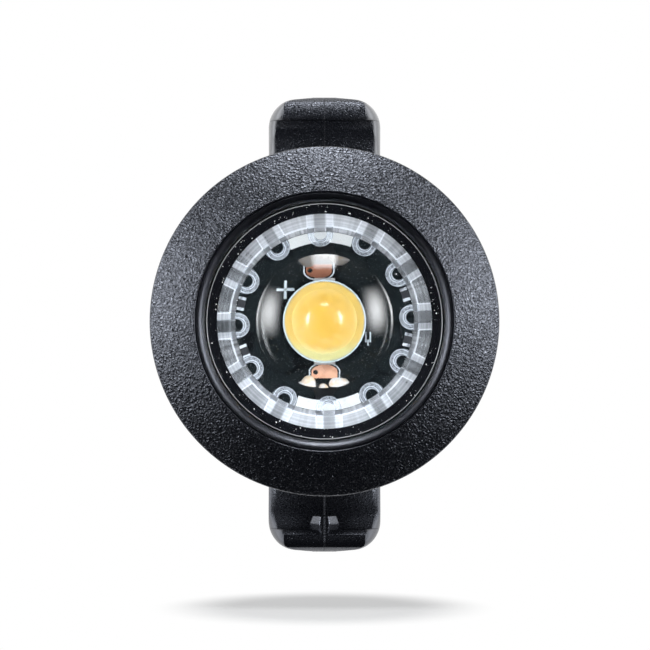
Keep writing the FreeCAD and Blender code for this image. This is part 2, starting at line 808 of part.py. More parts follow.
def switch_body():
    """Push switch on the board's rear with the plunger's bore."""
    half = SWITCH_SIZE / 2
    body = block(-half, half, switch_rear, board_rear, -half, half)
    uprights = [edge for edge in body.Edges if edge.BoundBox.YLength > SWITCH_HEIGHT / 2]
    body = body.makeFillet(SWITCH_CORNER, uprights)
    bore_end = switch_rear + PLUNGER_INSIDE + PRESS_TRAVEL + 0.1
    return body.cut(disc(PLUNGER_RADIUS + PLUNGER_CLEARANCE, switch_rear - 1, bore_end))


def switch_plunger():
    return disc(PLUNGER_RADIUS, plunger_end, switch_rear + PLUNGER_INSIDE)


def led_terminals():
    """Two flat metal lands under the LED, on the copper pads."""
    lands = []
    for sign in (1, -1):
        low = min(sign * TERMINAL_INNER, sign * TERMINAL_OUTER)
        high = low + TERMINAL_OUTER - TERMINAL_INNER
        lands.append(block(-TERMINAL_WIDTH / 2, TERMINAL_WIDTH / 2, led_seat, led_rear, low, high))
    return Part.makeCompound(lands)


def led_frame():
    """White cup, narrower at its foot than at its rim, with sloping walls inside."""
    return turned([
        (0, led_rear),
        (LED_RADIUS - LED_DRAFT, led_rear),
        (LED_RADIUS, led_front),
        (cup_radius, led_front),
        (cup_radius - CUP_DRAFT, cup_floor),
        (0, cup_floor),
    ])


def led_phosphor():
    return turned([
        (0, cup_floor),
        (cup_radius - CUP_DRAFT, cup_floor),
        (phosphor_radius, phosphor_front),
        (0, phosphor_front),
    ])


def led_dome():
    """Clear dome: fills the cup above the phosphor and bulges as a part of a sphere."""
    curve = (DOME_RADIUS ** 2 + DOME_HEIGHT ** 2) / (2 * DOME_HEIGHT)
    centre = led_front + DOME_HEIGHT - curve
    half_angle = math.asin(min(DOME_RADIUS / curve, 1.0)) / 2
    middle = (curve * math.sin(half_angle), centre + curve * math.cos(half_angle))
    return turned([
        (0, phosphor_front),
        (phosphor_radius, phosphor_front),
        (cup_radius, led_front),
        (DOME_RADIUS, led_front),
        middle + (0.0, led_front + DOME_HEIGHT),
    ])


def u_rib(rear, front):
    """Hollow rib with a U-shaped section, its round end towards the axis, at angle zero."""
    outer = RIB_WIDTH / 2
    inner = outer - RIB_WALL
    centre = rib_tip + outer
    reach = (skirt_inner + skirt_outer) / 2
    body = fused([
        post(outer, centre, 0, rear, front),
        block(centre, reach, rear, front, -outer, outer),
    ])
    hollow = fused([
        post(inner, centre, 0, rear - 1, front),
        block(centre, skirt_outer + 1, rear - 1, front, -inner, inner),
    ])
    return body, hollow


def lens():
    """Clear moulding: flange and plate, convex centre, skirt and U-shaped ribs behind."""
    apex = plate_front + BULGE_CURVE - math.sqrt(BULGE_CURVE ** 2 - BULGE_RADIUS ** 2)
    half_angle = math.asin(BULGE_RADIUS / BULGE_CURVE) / 2
    middle = (BULGE_CURVE * math.sin(half_angle), apex - BULGE_CURVE * (1 - math.cos(half_angle)))
    foot = board_front + SKIRT_STAND
    body = turned([
        (0, plate_rear),
        (skirt_inner, plate_rear),
        (skirt_inner, foot),
        (skirt_outer, foot),
        (skirt_outer, plate_rear),
        (lens_radius, plate_rear),
        (lens_radius, plate_front - PLATE_EDGE),
        (lens_radius - PLATE_EDGE, plate_front),
        (BULGE_RADIUS, plate_front),
        middle + (0.0, apex),
    ])
    rib, hollow = u_rib(foot, plate_rear)
    solid = fused([body] + copies(rib, RIB_COUNT, RIB_CLOCK))
    for cut in copies(hollow, RIB_COUNT, RIB_CLOCK):
        solid = solid.cut(cut)
    return solid


def lens_carrier():
    """Black ring that carries lens and board and slides in the bezel's bore."""
    groove_floor = bore_radius - GASKET_GAP - 2 * GASKET_RADIUS
    groove_rear = gasket_depth - GASKET_GROOVE / 2
    groove_front = gasket_depth + GASKET_GROOVE / 2
    body = turned([
        (window_radius, plate_rear),
        (carrier_front_radius, plate_rear),
        (carrier_front_radius, groove_front),
        (groove_floor, groove_front),
        (groove_floor, groove_rear),
        (carrier_front_radius, groove_rear),
        (carrier_front_radius, flange_front),
        (flange_radius, flange_front),
        (flange_radius, flange_rear),
        (carrier_rear_radius, flange_rear),
        (carrier_rear_radius, carrier_rear),
        (recess_radius, carrier_rear),
        (recess_radius, board_front),
        (window_radius, board_front),
    ])
    hook = turned(
        [
            (recess_radius - HOOK_DEPTH, board_rear),
            (recess_radius + CARRIER_WALL / 2, board_rear),
            (recess_radius + CARRIER_WALL / 2, board_rear - HOOK_LENGTH),
            (recess_radius, board_rear - HOOK_LENGTH),
        ],
        -HOOK_SWEEP / 2,
        HOOK_SWEEP,
    )
    return fused([body] + copies(hook, HOOK_COUNT, 45))


def lens_gasket():
    ring_centre = bore_radius - GASKET_GAP - GASKET_RADIUS
    return Part.makeTorus(ring_centre, GASKET_RADIUS, Vector(0, -gasket_depth, 0), Vector(0, 1, 0))


def bezel():
    """Front ring: cone with a crease and a rounded inner lip, barrel and bayonet tracks."""
    inner_crest = crease_radius - CREASE_WIDTH / 2
    outer_crest = crease_radius + CREASE_WIDTH / 2
    lip_depth = bezel_front - (inner_crest - bore_radius)
    lip = inner_crest - bore_radius
    diagonal = 1 - math.sqrt(0.5)
    cone_end = bezel_radius - EDGE_ROUND
    edge_front = bezel_edge + EDGE_ROUND
    cone_middle = ((outer_crest + cone_end) / 2, (bezel_front + edge_front) / 2 + CONE_SAG)
    edge_rear = bezel_edge - EDGE_THICKNESS
    blend_end = edge_rear - BARREL_BLEND
    blend_start = barrel_radius + BARREL_BLEND
    shell = turned([
        (bore_radius, stop_rear),
        (bore_radius, lip_depth),
        (bore_radius + diagonal * lip, bezel_front - diagonal * lip, inner_crest, bezel_front),
        (crease_radius, bezel_front - CREASE_DEPTH),
        (outer_crest, bezel_front),
        cone_middle + (cone_end, edge_front),
        (
            bezel_radius - diagonal * EDGE_ROUND,
            edge_front - diagonal * EDGE_ROUND,
            bezel_radius,
            bezel_edge,
        ),
        (bezel_radius, edge_rear + EDGE_ROUND),
        (bezel_radius - EDGE_ROUND, edge_rear),
        (blend_start, edge_rear),
        (
            barrel_radius + diagonal * BARREL_BLEND,
            edge_rear - diagonal * BARREL_BLEND,
            barrel_radius,
            blend_end,
        ),
        (barrel_radius, bezel_rear + EDGE_ROUND),
        (barrel_radius - EDGE_ROUND, bezel_rear),
        (skirt_radius, bezel_rear),
        (skirt_radius, neck_end),
        (flange_radius + SHOULDER_GAP, neck_end),
        (flange_radius + SHOULDER_GAP, stop_rear),
    ])
    track_radius = lug_radius + TRACK_GAP
    half_sweep = LUG_SWEEP / 2 + LUG_SIDE_GAP
    track = ring(
        skirt_radius - NECK_GAP / 2,
        track_radius,
        lug_rear - LUG_GAP,
        lug_front + LUG_GAP,
        -half_sweep - TURN_ANGLE,
        2 * half_sweep + TURN_ANGLE,
    )
    entry = ring(
        skirt_radius - NECK_GAP / 2,
        track_radius,
        bezel_rear - 1,
        lug_front + LUG_GAP,
        -half_sweep - TURN_ANGLE,
        2 * half_sweep,
    )
    for cut in copies(track, LUG_COUNT, 90) + copies(entry, LUG_COUNT, 90):
        shell = shell.cut(cut)
    return shell


NODES = {
    "bezel": bezel,
    "lens": lens,
    "lens_carrier": lens_carrier,
    "lens_gasket": lens_gasket,
    "circuit_board": circuit_board,
    "copper_pads": copper_pads,
    "contact_tabs": contact_tabs,
    "solder_joints": solder_joints,
    "chip_resistors": chip_resistors,
    "driver_chip": driver_chip,
    "switch_body": switch_body,
    "switch_plunger": switch_plunger,
    "led_terminals": led_terminals,
    "led_frame": led_frame,
    "led_phosphor": led_phosphor,
    "led_dome": led_dome,
    "rear_case": rear_case,
    "case_seal": case_seal,
    "battery_cap": battery_cap,
    "coin_cell_rear": lambda: coin_cell(cell_rear),
    "coin_cell_front": lambda: coin_cell(cell_rear + CELL_THICKNESS),
    "negative_spring": negative_spring,
    "negative_strip": negative_strip,
    "positive_contact": positive_contact,
    "mount_base": mount_base,
    "base_screws": base_screws,
    "saddle_pad": saddle_pad,
}

os.makedirs("parts", exist_ok=True)
for name, build in NODES.items():
    shape = build()
    shape.exportStep("parts/" + name + ".step")
    bounds = shape.BoundBox
    print(
        name,
        len(shape.Solids),
        "solids",
        round(shape.Volume, 2),
        "mm3",
        "valid" if shape.isValid() else "not valid",
        "depth",
        round(-bounds.YMax, 2),
        round(-bounds.YMin, 2),
    )
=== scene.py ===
import json
import math

import bmesh
import bpy
import numpy as np
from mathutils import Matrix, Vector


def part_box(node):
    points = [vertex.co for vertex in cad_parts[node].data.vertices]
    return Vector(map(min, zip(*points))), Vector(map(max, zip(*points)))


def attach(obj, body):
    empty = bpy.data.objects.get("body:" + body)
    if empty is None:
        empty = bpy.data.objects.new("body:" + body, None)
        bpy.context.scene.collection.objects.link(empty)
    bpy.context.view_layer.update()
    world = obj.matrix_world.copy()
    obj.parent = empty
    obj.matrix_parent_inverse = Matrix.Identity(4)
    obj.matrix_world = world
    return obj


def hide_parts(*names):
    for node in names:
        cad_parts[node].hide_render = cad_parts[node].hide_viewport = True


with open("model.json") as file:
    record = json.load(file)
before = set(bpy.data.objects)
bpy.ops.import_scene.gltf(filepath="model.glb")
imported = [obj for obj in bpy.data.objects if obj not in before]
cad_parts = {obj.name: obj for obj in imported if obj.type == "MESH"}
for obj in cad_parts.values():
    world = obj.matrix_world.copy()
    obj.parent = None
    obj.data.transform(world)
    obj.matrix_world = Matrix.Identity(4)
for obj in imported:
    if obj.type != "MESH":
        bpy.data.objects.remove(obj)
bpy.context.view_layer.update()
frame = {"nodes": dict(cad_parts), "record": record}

# Looks of a small round bicycle headlight. The row frame has +X along the handlebar and +Z up;
# the light shines along -Y. Sizes below are in millimetres and MM turns them into metres.
# A depth is a distance forward of the handlebar's axis, and a radius is measured from the
# light's own axis. Angles round that axis start at +X and grow towards +Z.
MM = 0.001


def low(node, axis):
    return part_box(node)[0]["xyz".index(axis)] / MM


def high(node, axis):
    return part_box(node)[1]["xyz".index(axis)] / MM


# Taken from the frame
BEZEL_RADIUS = high("bezel", "x")
BEZEL_FRONT = -low("bezel", "y")
BEZEL_REAR = -high("bezel", "y")
LENS_RADIUS = high("lens", "x")
LENS_APEX = -low("lens", "y")
LENS_FOOT = -high("lens", "y")
PLATE_REAR = -low("lens_carrier", "y")
BOARD_FRONT = -low("circuit_board", "y")
CASE_REAR = -high("rear_case", "y")
NECK_FRONT = -low("rear_case", "y")
LED_FRONT = -low("led_frame", "y")
DOME_TOP = -low("led_dome", "y")
CUP_RADIUS = high("led_dome", "x")
PHOSPHOR_FRONT = -low("led_phosphor", "y")
PHOSPHOR_RADIUS = high("led_phosphor", "x")
PAD_OUTER = high("copper_pads", "z")
PAD_HALF_WIDTH = high("copper_pads", "x")
CHIP_FRONT = -low("chip_resistors", "y")
REACH_UP = high("mount_base", "z")
REACH_DOWN = -low("mount_base", "z")

# Faces that would otherwise lie in one plane stand HAIR apart; SLACK is the room left when
# two measures are compared
HAIR = 0.01
SLACK = 1e-6

# Front ring
BORE = 13.7
LIP = 0.88
CREASE = 14.69
CREASE_HALF = 0.11
CONE_END = 0.94
CREASE_DEPTH = 0.2
CONE_DROP = 2.25
CONE_SAG = 0.12
EDGE_ROUND = 0.3
RIM = 0.75
BARREL = 18.0
BARREL_BLEND = 1.4
SKIRT_BORE = 16.3
SHOULDER = 14.7
NECK_GAP = 0.3
STOP_DEPTH = 40.15
TRACK_RADIUS = 17.1
TRACK_REAR = 31.9
TRACK_FRONT = 33.3
TRACK_ANGLES = (90.0, 210.0, 330.0)
TRACK_HALF = 7.5
TRACK_TURN = 24.0

# Lens
PLATE_THICKNESS = 1.4
PLATE_LIFT = 0.03
BULGE_EDGE = 8.5
BULGE_CURVE = 13.3
BULGE_FILLET = 1.6
SKIRT_OUTER = 12.25
SKIRT_INNER = 10.75
SKIRT_DRAFT = 0.5
RIB_COUNT = 12
RIB_CLOCK = 2.7
RIB_WIDTH = 2.97
RIB_WALL = 0.77
RIB_TIP = 8.57
RIB_DRAFT = 0.12

# Dust on the lens
DUST_COUNT = 150
DUST_ON_RIM = 0.75
DUST_RIM = 12.45
DUST_RIM_WIDTH = 0.95
DUST_WINDOW = 12.3
DUST_SMALLEST = 0.026
DUST_SPREAD = 0.05

# Hook arms and the block between them
ARM_WIDTH = 13.25
ARM_CORNER = 3.3
ARM_ROOT = 15.0
ARM_BACK_DEPTH = 2.8
ARM_BACK_RISE = 7.1
ARM_BACK_SETBACK = 7.26
ROOT_FLARE = 3.2
BASE_RADIUS = 17.6
GROOVE_GAP = 0.15
GROOVE_START = 0.3
GROOVE_END = 3.2
GROOVE_SAG = 0.7
BEAD_RADIUS = 1.5
BEAD_STAND = 5.25
FACE_ROUND_LOW = 1.3
FACE_ROUND_HIGH = 0.5
BEAD_FOOT = 0.8
BEAD_ARC = (-53.13, 88.5)
BEAD_HALF = 4.8
BEAD_END = 1.3
BEAD_RIM = 0.42
BEVEL_RATIO = 1.1
BEVEL_START = math.radians(24)
BEVEL_RUN = 2.0
BEVEL_FOOT = 1.06
BEVEL_LIMIT = 1.2
BACK_ROUND = 0.9
ROUND_SHARE = 0.45
TIP_THICKNESS = 0.35
TIP_HALF_WIDTH = 1.4
BLOCK_HALF_HEIGHT = 18.25
PARTING_START = 17.7
ARMS_START = 18.6
SMOOTH_END = 3.4

# Catch: half widths with their share of the height, then stand from the case with the shares
# of width and height that are left there
CATCH_TOP = 4.3
CATCH_HEIGHT = 2.35
CATCH_OUTLINE = ((1.4, 0.0), (1.825, 0.42), (0.9, 1.0))
CATCH_LEVELS = ((0.1, 1.0, 1.0), (3.9, 0.96, 0.98), (5.22, 0.34, 0.96))
CATCH_EDGE = 0.1

# LED and board
DOME_RADIUS = 2.4
PAD_INNER = 2.9
PAD_BEND = 3.35
PAD_SHIFT = (-0.38, 0.0)
PAD_THICKNESS = 0.05
VIA_RADIUS = 0.17
VIA_PLACE = (-0.6, 3.42)
VIA_STAND = 0.055
TABS_COVERED = (4.25, 9.3)
SOLDER_BLOBS = ((-1.22, 4.5, 0.68), (1.08, 4.5, 0.68), (-0.08, 4.75, 0.42))
SOLDER_WALL = 0.26
SOLDER_CROWN = 0.42
SOLDER_SCALE = 0.66
CHIP_LENGTH = 1.6
CHIP_WIDTH = 0.8
CHIP_RING = 10.0
CHIP_ANGLES = (-12.5, 18.5, 168.0, 200.6)
CHIP_END = 0.34
CHIP_SWELL = 0.02
CHIP_DROP = 0.03

# White marks on the board; a tick is its middle and half its length
INK_SUNK = 0.005
INK_STAND = 0.02
LINE_MARGIN = 0.14
LINE_OUTER = 4.35
LINE_WIDTH = 0.08
PLUS_PLACE = (-2.62, 2.12)
PLUS_HALF = 0.62
PLUS_WIDTH = 0.17
TICKS = ((2.75, -1.05, 0.34), (3.05, -1.05, 0.34), (2.9, -1.42, 0.2))
TICK_WIDTH = 0.09


class Signal:
    """Output socket of one node tree. Arithmetic on it adds Math nodes."""

    def __init__(self, shade, socket):
        self.shade = shade
        self.socket = socket

    def math(self, operation, *values):
        inputs = dict(enumerate(values))
        return self.shade.node("ShaderNodeMath", inputs, {"operation": operation})

    def __add__(self, other):
        return self.math("ADD", self, other)

    def __radd__(self, other):
        return self.math("ADD", other, self)

    def __sub__(self, other):
        return self.math("SUBTRACT", self, other)

    def __rsub__(self, other):
        return self.math("SUBTRACT", other, self)

    def __mul__(self, other):
        return self.math("MULTIPLY", self, other)

    def __rmul__(self, other):
        return self.math("MULTIPLY", other, self)

    def __truediv__(self, other):
        return self.math("DIVIDE", self, other)

    def __pow__(self, other):
        return self.math("POWER", self, other)

    def __abs__(self):
        return self.math("ABSOLUTE", self)

    def above(self, other, width):
        """0 below other, 1 above it, with a smooth step of the given width."""
        settings = {"interpolation_type": "SMOOTHSTEP"}
        inputs = {"Value": self, "From Min": other - width / 2, "From Max": other + width / 2}
        return self.shade.node("ShaderNodeMapRange", inputs, settings)

    def below(self, other, width):
        return 1 - self.above(other, width)


class Shade:
    """Node tree of a material, a lamp or the world. Every node of it comes from node()."""

    def __init__(self, name="", owner=None):
        self.owner = owner or bpy.data.materials.new(name)
        self.owner.use_nodes = True
        self.tree = self.owner.node_tree
        self.tree.nodes.clear()

    def node(self, kind, inputs=None, settings=None, output=0):
        made = self.tree.nodes.new(kind)
        for key, value in (settings or {}).items():
            setattr(made, key, value)
        for key, value in (inputs or {}).items():
            socket = made.inputs[key]
            if isinstance(value, Signal):
                self.tree.links.new(value.socket, socket)
            elif isinstance(value, tuple) and socket.type == "RGBA":
                socket.default_value = (*value, 1.0)
            else:
                socket.default_value = value
        return Signal(self, made.outputs[output]) if made.outputs else made

    def point(self):
        """Object coordinates in millimetres, as one vector."""
        place = self.node("ShaderNodeTexCoord", output="Object")
        inputs = {0: place, "Scale": 1 / MM}
        return self.node("ShaderNodeVectorMath", inputs, {"operation": "SCALE"})

    def split(self, vector):
        return [self.node("ShaderNodeSeparateXYZ", {0: vector}, output=axis) for axis in "XYZ"]

    def xyz(self):
        """Right, back and up of the point, in millimetres."""
        return self.split(self.point())

    def polar(self):
        """Radius and angle (radians) round the light's axis."""
        x, _, z = self.xyz()
        return (x * x + z * z) ** 0.5, x.math("ARCTAN2", z, x)

    def noise(self, scale, detail, rough, warp=0.0):
        """Noise round 0.5; scale is in features per millimetre."""
        inputs = {
            "Vector": self.point(),
            "Scale": scale,
            "Detail": detail,
            "Roughness": rough,
            "Distortion": warp,
        }
        return self.node("ShaderNodeTexNoise", inputs)

    def lines(self, along, scale, detail, rough):
        """Noise along one value only, which draws lines across it."""
        inputs = {"W": along, "Scale": scale, "Detail": detail, "Roughness": rough}
        return self.node("ShaderNodeTexNoise", inputs, {"noise_dimensions": "1D"})

    def cells(self, scale, feature, **values):
        inputs = {"Vector": self.point(), "Scale": scale, **values}
        return self.node("ShaderNodeTexVoronoi", inputs, {"feature": feature})

    def mix(self, factor, first, second):
        """Colour mix: first at 0, second at 1."""
        inputs = {0: factor, 6: first, 7: second}
        return self.node("ShaderNodeMix", inputs, {"data_type": "RGBA"}, output=2)

    def bump(self, height, distance):
        """Normal from a height of 0 to 1 that stands for a distance in millimetres."""
        inputs = {"Height": height, "Distance": distance * MM, "Strength": 1.0}
        return self.node("ShaderNodeBump", inputs)

    def surface(self, **values):
        """Principled shader; keyword names are its sockets with _ for a space."""
        inputs = {key.replace("_", " "): value for key, value in values.items()}
        return self.node("ShaderNodeBsdfPrincipled", inputs)

    def blend(self, factor, first, second):
        return self.node("ShaderNodeMixShader", {0: factor, 1: first, 2: second})

    def done(self, shader, kind="Material"):
        self.node("ShaderNodeOutput" + kind, {"Surface": shader})
        return self.owner

    def opaque(self, **values):
        """Finished material of one principled shader."""
        return self.done(self.surface(**values))


# Surfaces

def vertices(x, y, z):
    """List of vertices from three arrays that are spread over one common grid."""
    return np.stack(np.broadcast_arrays(x, y, z), axis=-1).reshape(-1, 3)


def grid_faces(rows, columns, closed=False):
    """Quads of a grid of rows x columns vertices. Every row is a ring; where told, the last
    row joins the first."""
    i = np.arange(rows if closed else rows - 1)[:, None]
    j = np.arange(columns)[None, :]
    below = (i + 1) % rows
    right = (j + 1) % columns
    quads = np.broadcast_arrays(
        i * columns + j, i * columns + right, below * columns + right, below * columns + j
    )
    return np.stack(quads, axis=-1).reshape(-1, 4)


def tube_faces(rows, columns):
    """Faces of a grid of rings with its first and last ring filled."""
    ring = np.arange(columns)[None, :]
    return [grid_faces(rows, columns), ring[:, ::-1], ring + (rows - 1) * columns]


def pole_faces(rows, columns):
    """Faces of a grid of rings between two poles, which are the two vertices after it."""
    j = np.arange(columns)
    on = (j + 1) % columns
    count = rows * columns
    last = count - columns
    return [
        grid_faces(rows, columns),
        np.stack([np.full(columns, count), on, j], axis=-1),
        np.stack([np.full(columns, count + 1), last + j, last + on], axis=-1),
    ]


def into_scene(name, data):
    made = bpy.data.objects.new(name, data)
    bpy.context.scene.collection.objects.link(made)
    return made


def dressed(name, mesh, body, slot, replaces, sharp, finish=None):
    """Object of a mesh that rides on a body. It wears the finish of its slot unless another
    one is told, and its edges over the sharp angle stay sharp."""
    mesh.shade_smooth()
    mesh.set_sharp_from_angle(angle=math.radians(sharp))
    mesh.materials.clear()
    mesh.materials.append(MATERIALS[finish or slot])
    made = into_scene(name, mesh)
    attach(made, body)
    if replaces:
        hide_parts(*replaces)
    return made


def piece(name, parts, body, slot, replaces=(), sharp=40.0, finish=None):
    """Mesh object from closed parts, each (vertices in mm, list of face arrays). Every part is
    turned outwards by its own volume."""
    points = []
    polygons = []
    first = 0
    for corners, groups in parts:
        triangles = np.concatenate([
            group[:, [0, k, k + 1]] for group in groups for k in range(1, group.shape[1] - 1)
        ])
        a, b, c = corners[triangles].transpose(1, 0, 2)
        volume = np.sum(a * np.cross(b, c))
        for group in groups:
            outwards = group if volume > 0 else group[:, ::-1]
            polygons.extend((outwards + first).tolist())
        points.append(corners)
        first += len(corners)
    mesh = bpy.data.meshes.new(name)
    mesh.from_pydata((np.concatenate(points) * MM).tolist(), [], polygons)
    return dressed(name, mesh, body, slot, replaces, sharp, finish)


def rounded(corners, steps):
    """Profile through corners (u, v, round): each corner with a round becomes an arc of that
    radius, tangent to both sides, in the given number of steps. The profile is closed."""
    corners = np.array(corners, float)
    here = corners[:, :2]
    back = np.roll(here, 1, axis=0) - here
    on = np.roll(here, -1, axis=0) - here
    back /= np.linalg.norm(back, axis=1)[:, None]
    on /= np.linalg.norm(on, axis=1)[:, None]
    points = []
    for place, a, b, radius in zip(here, back, on, corners[:, 2]):
        if radius == 0:
            points.append(place[None, :])
            continue
        half = math.acos(float(np.clip(a @ b, -1, 1))) / 2
        centre = place + (a + b) / np.linalg.norm(a + b) * radius / math.sin(half)
        start = place + a * radius / math.tan(half) - centre
        end = place + b * radius / math.tan(half) - centre
        share = np.linspace(0, 1, steps + 1)[:, None]
        sweep = math.acos(float(np.clip(start @ end / radius**2, -1, 1)))
        arc = (np.sin((1 - share) * sweep) * start + np.sin(share * sweep) * end) / math.sin(sweep)
        points.append(centre + arc)
    return np.concatenate(points)


def turned(profile, columns):
    """Profile of (radius, depth) turned round the light's axis: x = r cos a, y = -d and
    z = r sin a. A profile whose ends lie on the axis is closed there by two poles."""
    angles = np.arange(columns) * 2 * math.pi / columns
    poles = profile[0, 0] == 0 and profile[-1, 0] == 0
    ring = profile[1:-1] if poles else profile
    radius, depth = ring[:, :1], ring[:, 1:]
    points = vertices(radius * np.cos(angles), -depth, radius * np.sin(angles))
    if not poles:
        return points, [grid_faces(len(ring), columns, True)]
    ends = [[0, -profile[0, 1], 0], [0, -profile[-1, 1], 0]]
    return np.concatenate([points, ends]), pole_faces(len(ring), columns)


def spun(points, angle):
    """Points turned about the light's axis, anticlockwise as seen from the front."""
    a = math.radians(angle)
    x = points[..., 0] * math.cos(a) - points[..., 2] * math.sin(a)
    z = points[..., 0] * math.sin(a) + points[..., 2] * math.cos(a)
    return np.stack([x, points[..., 1], z], axis=-1)


# Finishes

# Cool cast of the light, painted into the shine of the black plastics as their specular tint
PAINTED_LIGHT_CAST = (0.83, 0.87, 1.0)


def black_tint(shade, tops):
    """Near-black plastic with a cool cast, a touch lighter on the worn tops of the grain."""
    cloud = shade.noise(0.5, 3.0, 0.6)
    deep = shade.mix(cloud, (0.0005, 0.0006, 0.0010), (0.0010, 0.0011, 0.0017))
    return shade.mix(tops * 0.5, deep, (0.0026, 0.0028, 0.0040))


def leather(shade, scale=4.4):
    """Mould grain of slightly warped noise with soft cells, as a height of 0 to about 1, and
    the worn tops of it."""
    pebble = shade.noise(scale, 1.0, 0.5, 0.7)
    cell = shade.cells(scale * 0.8, "SMOOTH_F1", Smoothness=0.5)
    height = pebble * 0.85 + cell * 0.35
    return height, height.above(0.68, 0.25)


def grained_black(name, scale, grain, roughness, shine, parting=False):
    """Black plastic with mould grain; beyond the round body, which is on the arms, the
    rounded sides are smooth and a fine parting line may run down the middle."""
    shade = Shade(name)
    height, tops = leather(shade, scale)
    fine = shade.noise(14.0, 2.0, 0.5)
    x, _, z = shade.xyz()
    normal = shade.node("ShaderNodeNewGeometry", output="Normal")
    sideways = abs(shade.split(normal)[0])
    upper = z.above(0, 10)
    smooth = upper + (z * -1).above(REACH_DOWN - SMOOTH_END, 0.6)
    arms = abs(z).above(ARMS_START, 1.0)
    side = sideways.above(0.6, 0.25) * abs(x).above(4.0, 0.5) * smooth * arms
    face = 1 - side
    relief = height * face * (0.45 + upper * 1.15) + fine * 0.05
    if parting:
        line = abs(x).below(0.06, 0.06) * abs(z).above(PARTING_START, 0.1)
        relief = relief + line * 2.5
    rough = (roughness + upper * 0.03 + (1 - tops) * 0.1) * face + (0.3 + fine * 0.1) * side
    return shade.opaque(
        Base_Color=black_tint(shade, tops),
        Roughness=rough,
        Normal=shade.bump(relief, 0.06 * grain),
        IOR=1.6,
        Specular_IOR_Level=shine,
        # Specular tint: the light's cool cast, painted
        Specular_Tint=PAINTED_LIGHT_CAST,
        Coat_Weight=side * (0.05 + upper * 0.6),
        Coat_IOR=2.0,
        Coat_Roughness=0.12,
    )


def bezel_black():
    """Grained cone with a smooth inner lip: the grain fades out inside the crease."""
    shade = Shade("black_grained")
    radius, _ = shade.polar()
    field = radius.above(CREASE + 0.15, 0.12)
    height, tops = leather(shade)
    speck = shade.noise(9.0, 2.0, 0.6)
    rough = 0.26 - field * 0.07 + (1 - tops) * field * 0.08 + speck * 0.05
    relief = height * field + speck * 0.3 * (1 - field)
    return shade.opaque(
        Base_Color=black_tint(shade, tops * field),
        Roughness=rough,
        Normal=shade.bump(relief, 0.11),
        IOR=1.6,
        Specular_IOR_Level=1.0,
        # Specular tint: the light's cool cast, painted
        Specular_Tint=PAINTED_LIGHT_CAST,
    )


def gloss_black():
    """Polished black plastic with faint turning lines and a little dust."""
    shade = Shade("black_gloss")
    radius, _ = shade.polar()
    lines = shade.lines(radius, 9.0, 3.0, 0.7)
    dust = shade.noise(9.0, 2.0, 0.6).above(0.72, 0.04)
    base = shade.mix(dust * 0.5, (0.004, 0.0043, 0.0055), (0.2, 0.2, 0.21))
    rough = 0.12 + lines * 0.14 + dust * 0.4
    return shade.opaque(Base_Color=base, Roughness=rough, Normal=shade.bump(lines, 0.003))


def lamp_light(shade, glass, tint):
    """Glass that lamps shine through: transparent to shadow rays."""
    shadow = shade.node("ShaderNodeLightPath", output="Is Shadow Ray")
    through = shade.node("ShaderNodeBsdfTransparent", {"Color": tint})
    return shade.blend(shadow, glass, through)


def rib_walls(shade):
    """Distance in mm outwards from the middle of the nearest U-shaped wall, negative in its
    hollow. The angle is folded into one pitch; beyond the tip's centre the distance to that
    centre takes over."""
    radius, angle = shade.polar()
    pitch = 2 * math.pi / RIB_COUNT
    turn = (angle - math.radians(RIB_CLOCK)) / pitch + 0.5
    folded = (turn.math("FRACT", turn) - 0.5) * pitch
    across = radius * folded.math("SINE", folded)
    along = radius * folded.math("COSINE", folded)
    inward = along.math("MAXIMUM", RIB_TIP + RIB_WIDTH / 2 - along, 0.0)
    reach = (across * across + inward * inward) ** 0.5
    return reach - (RIB_WIDTH - RIB_WALL) / 2


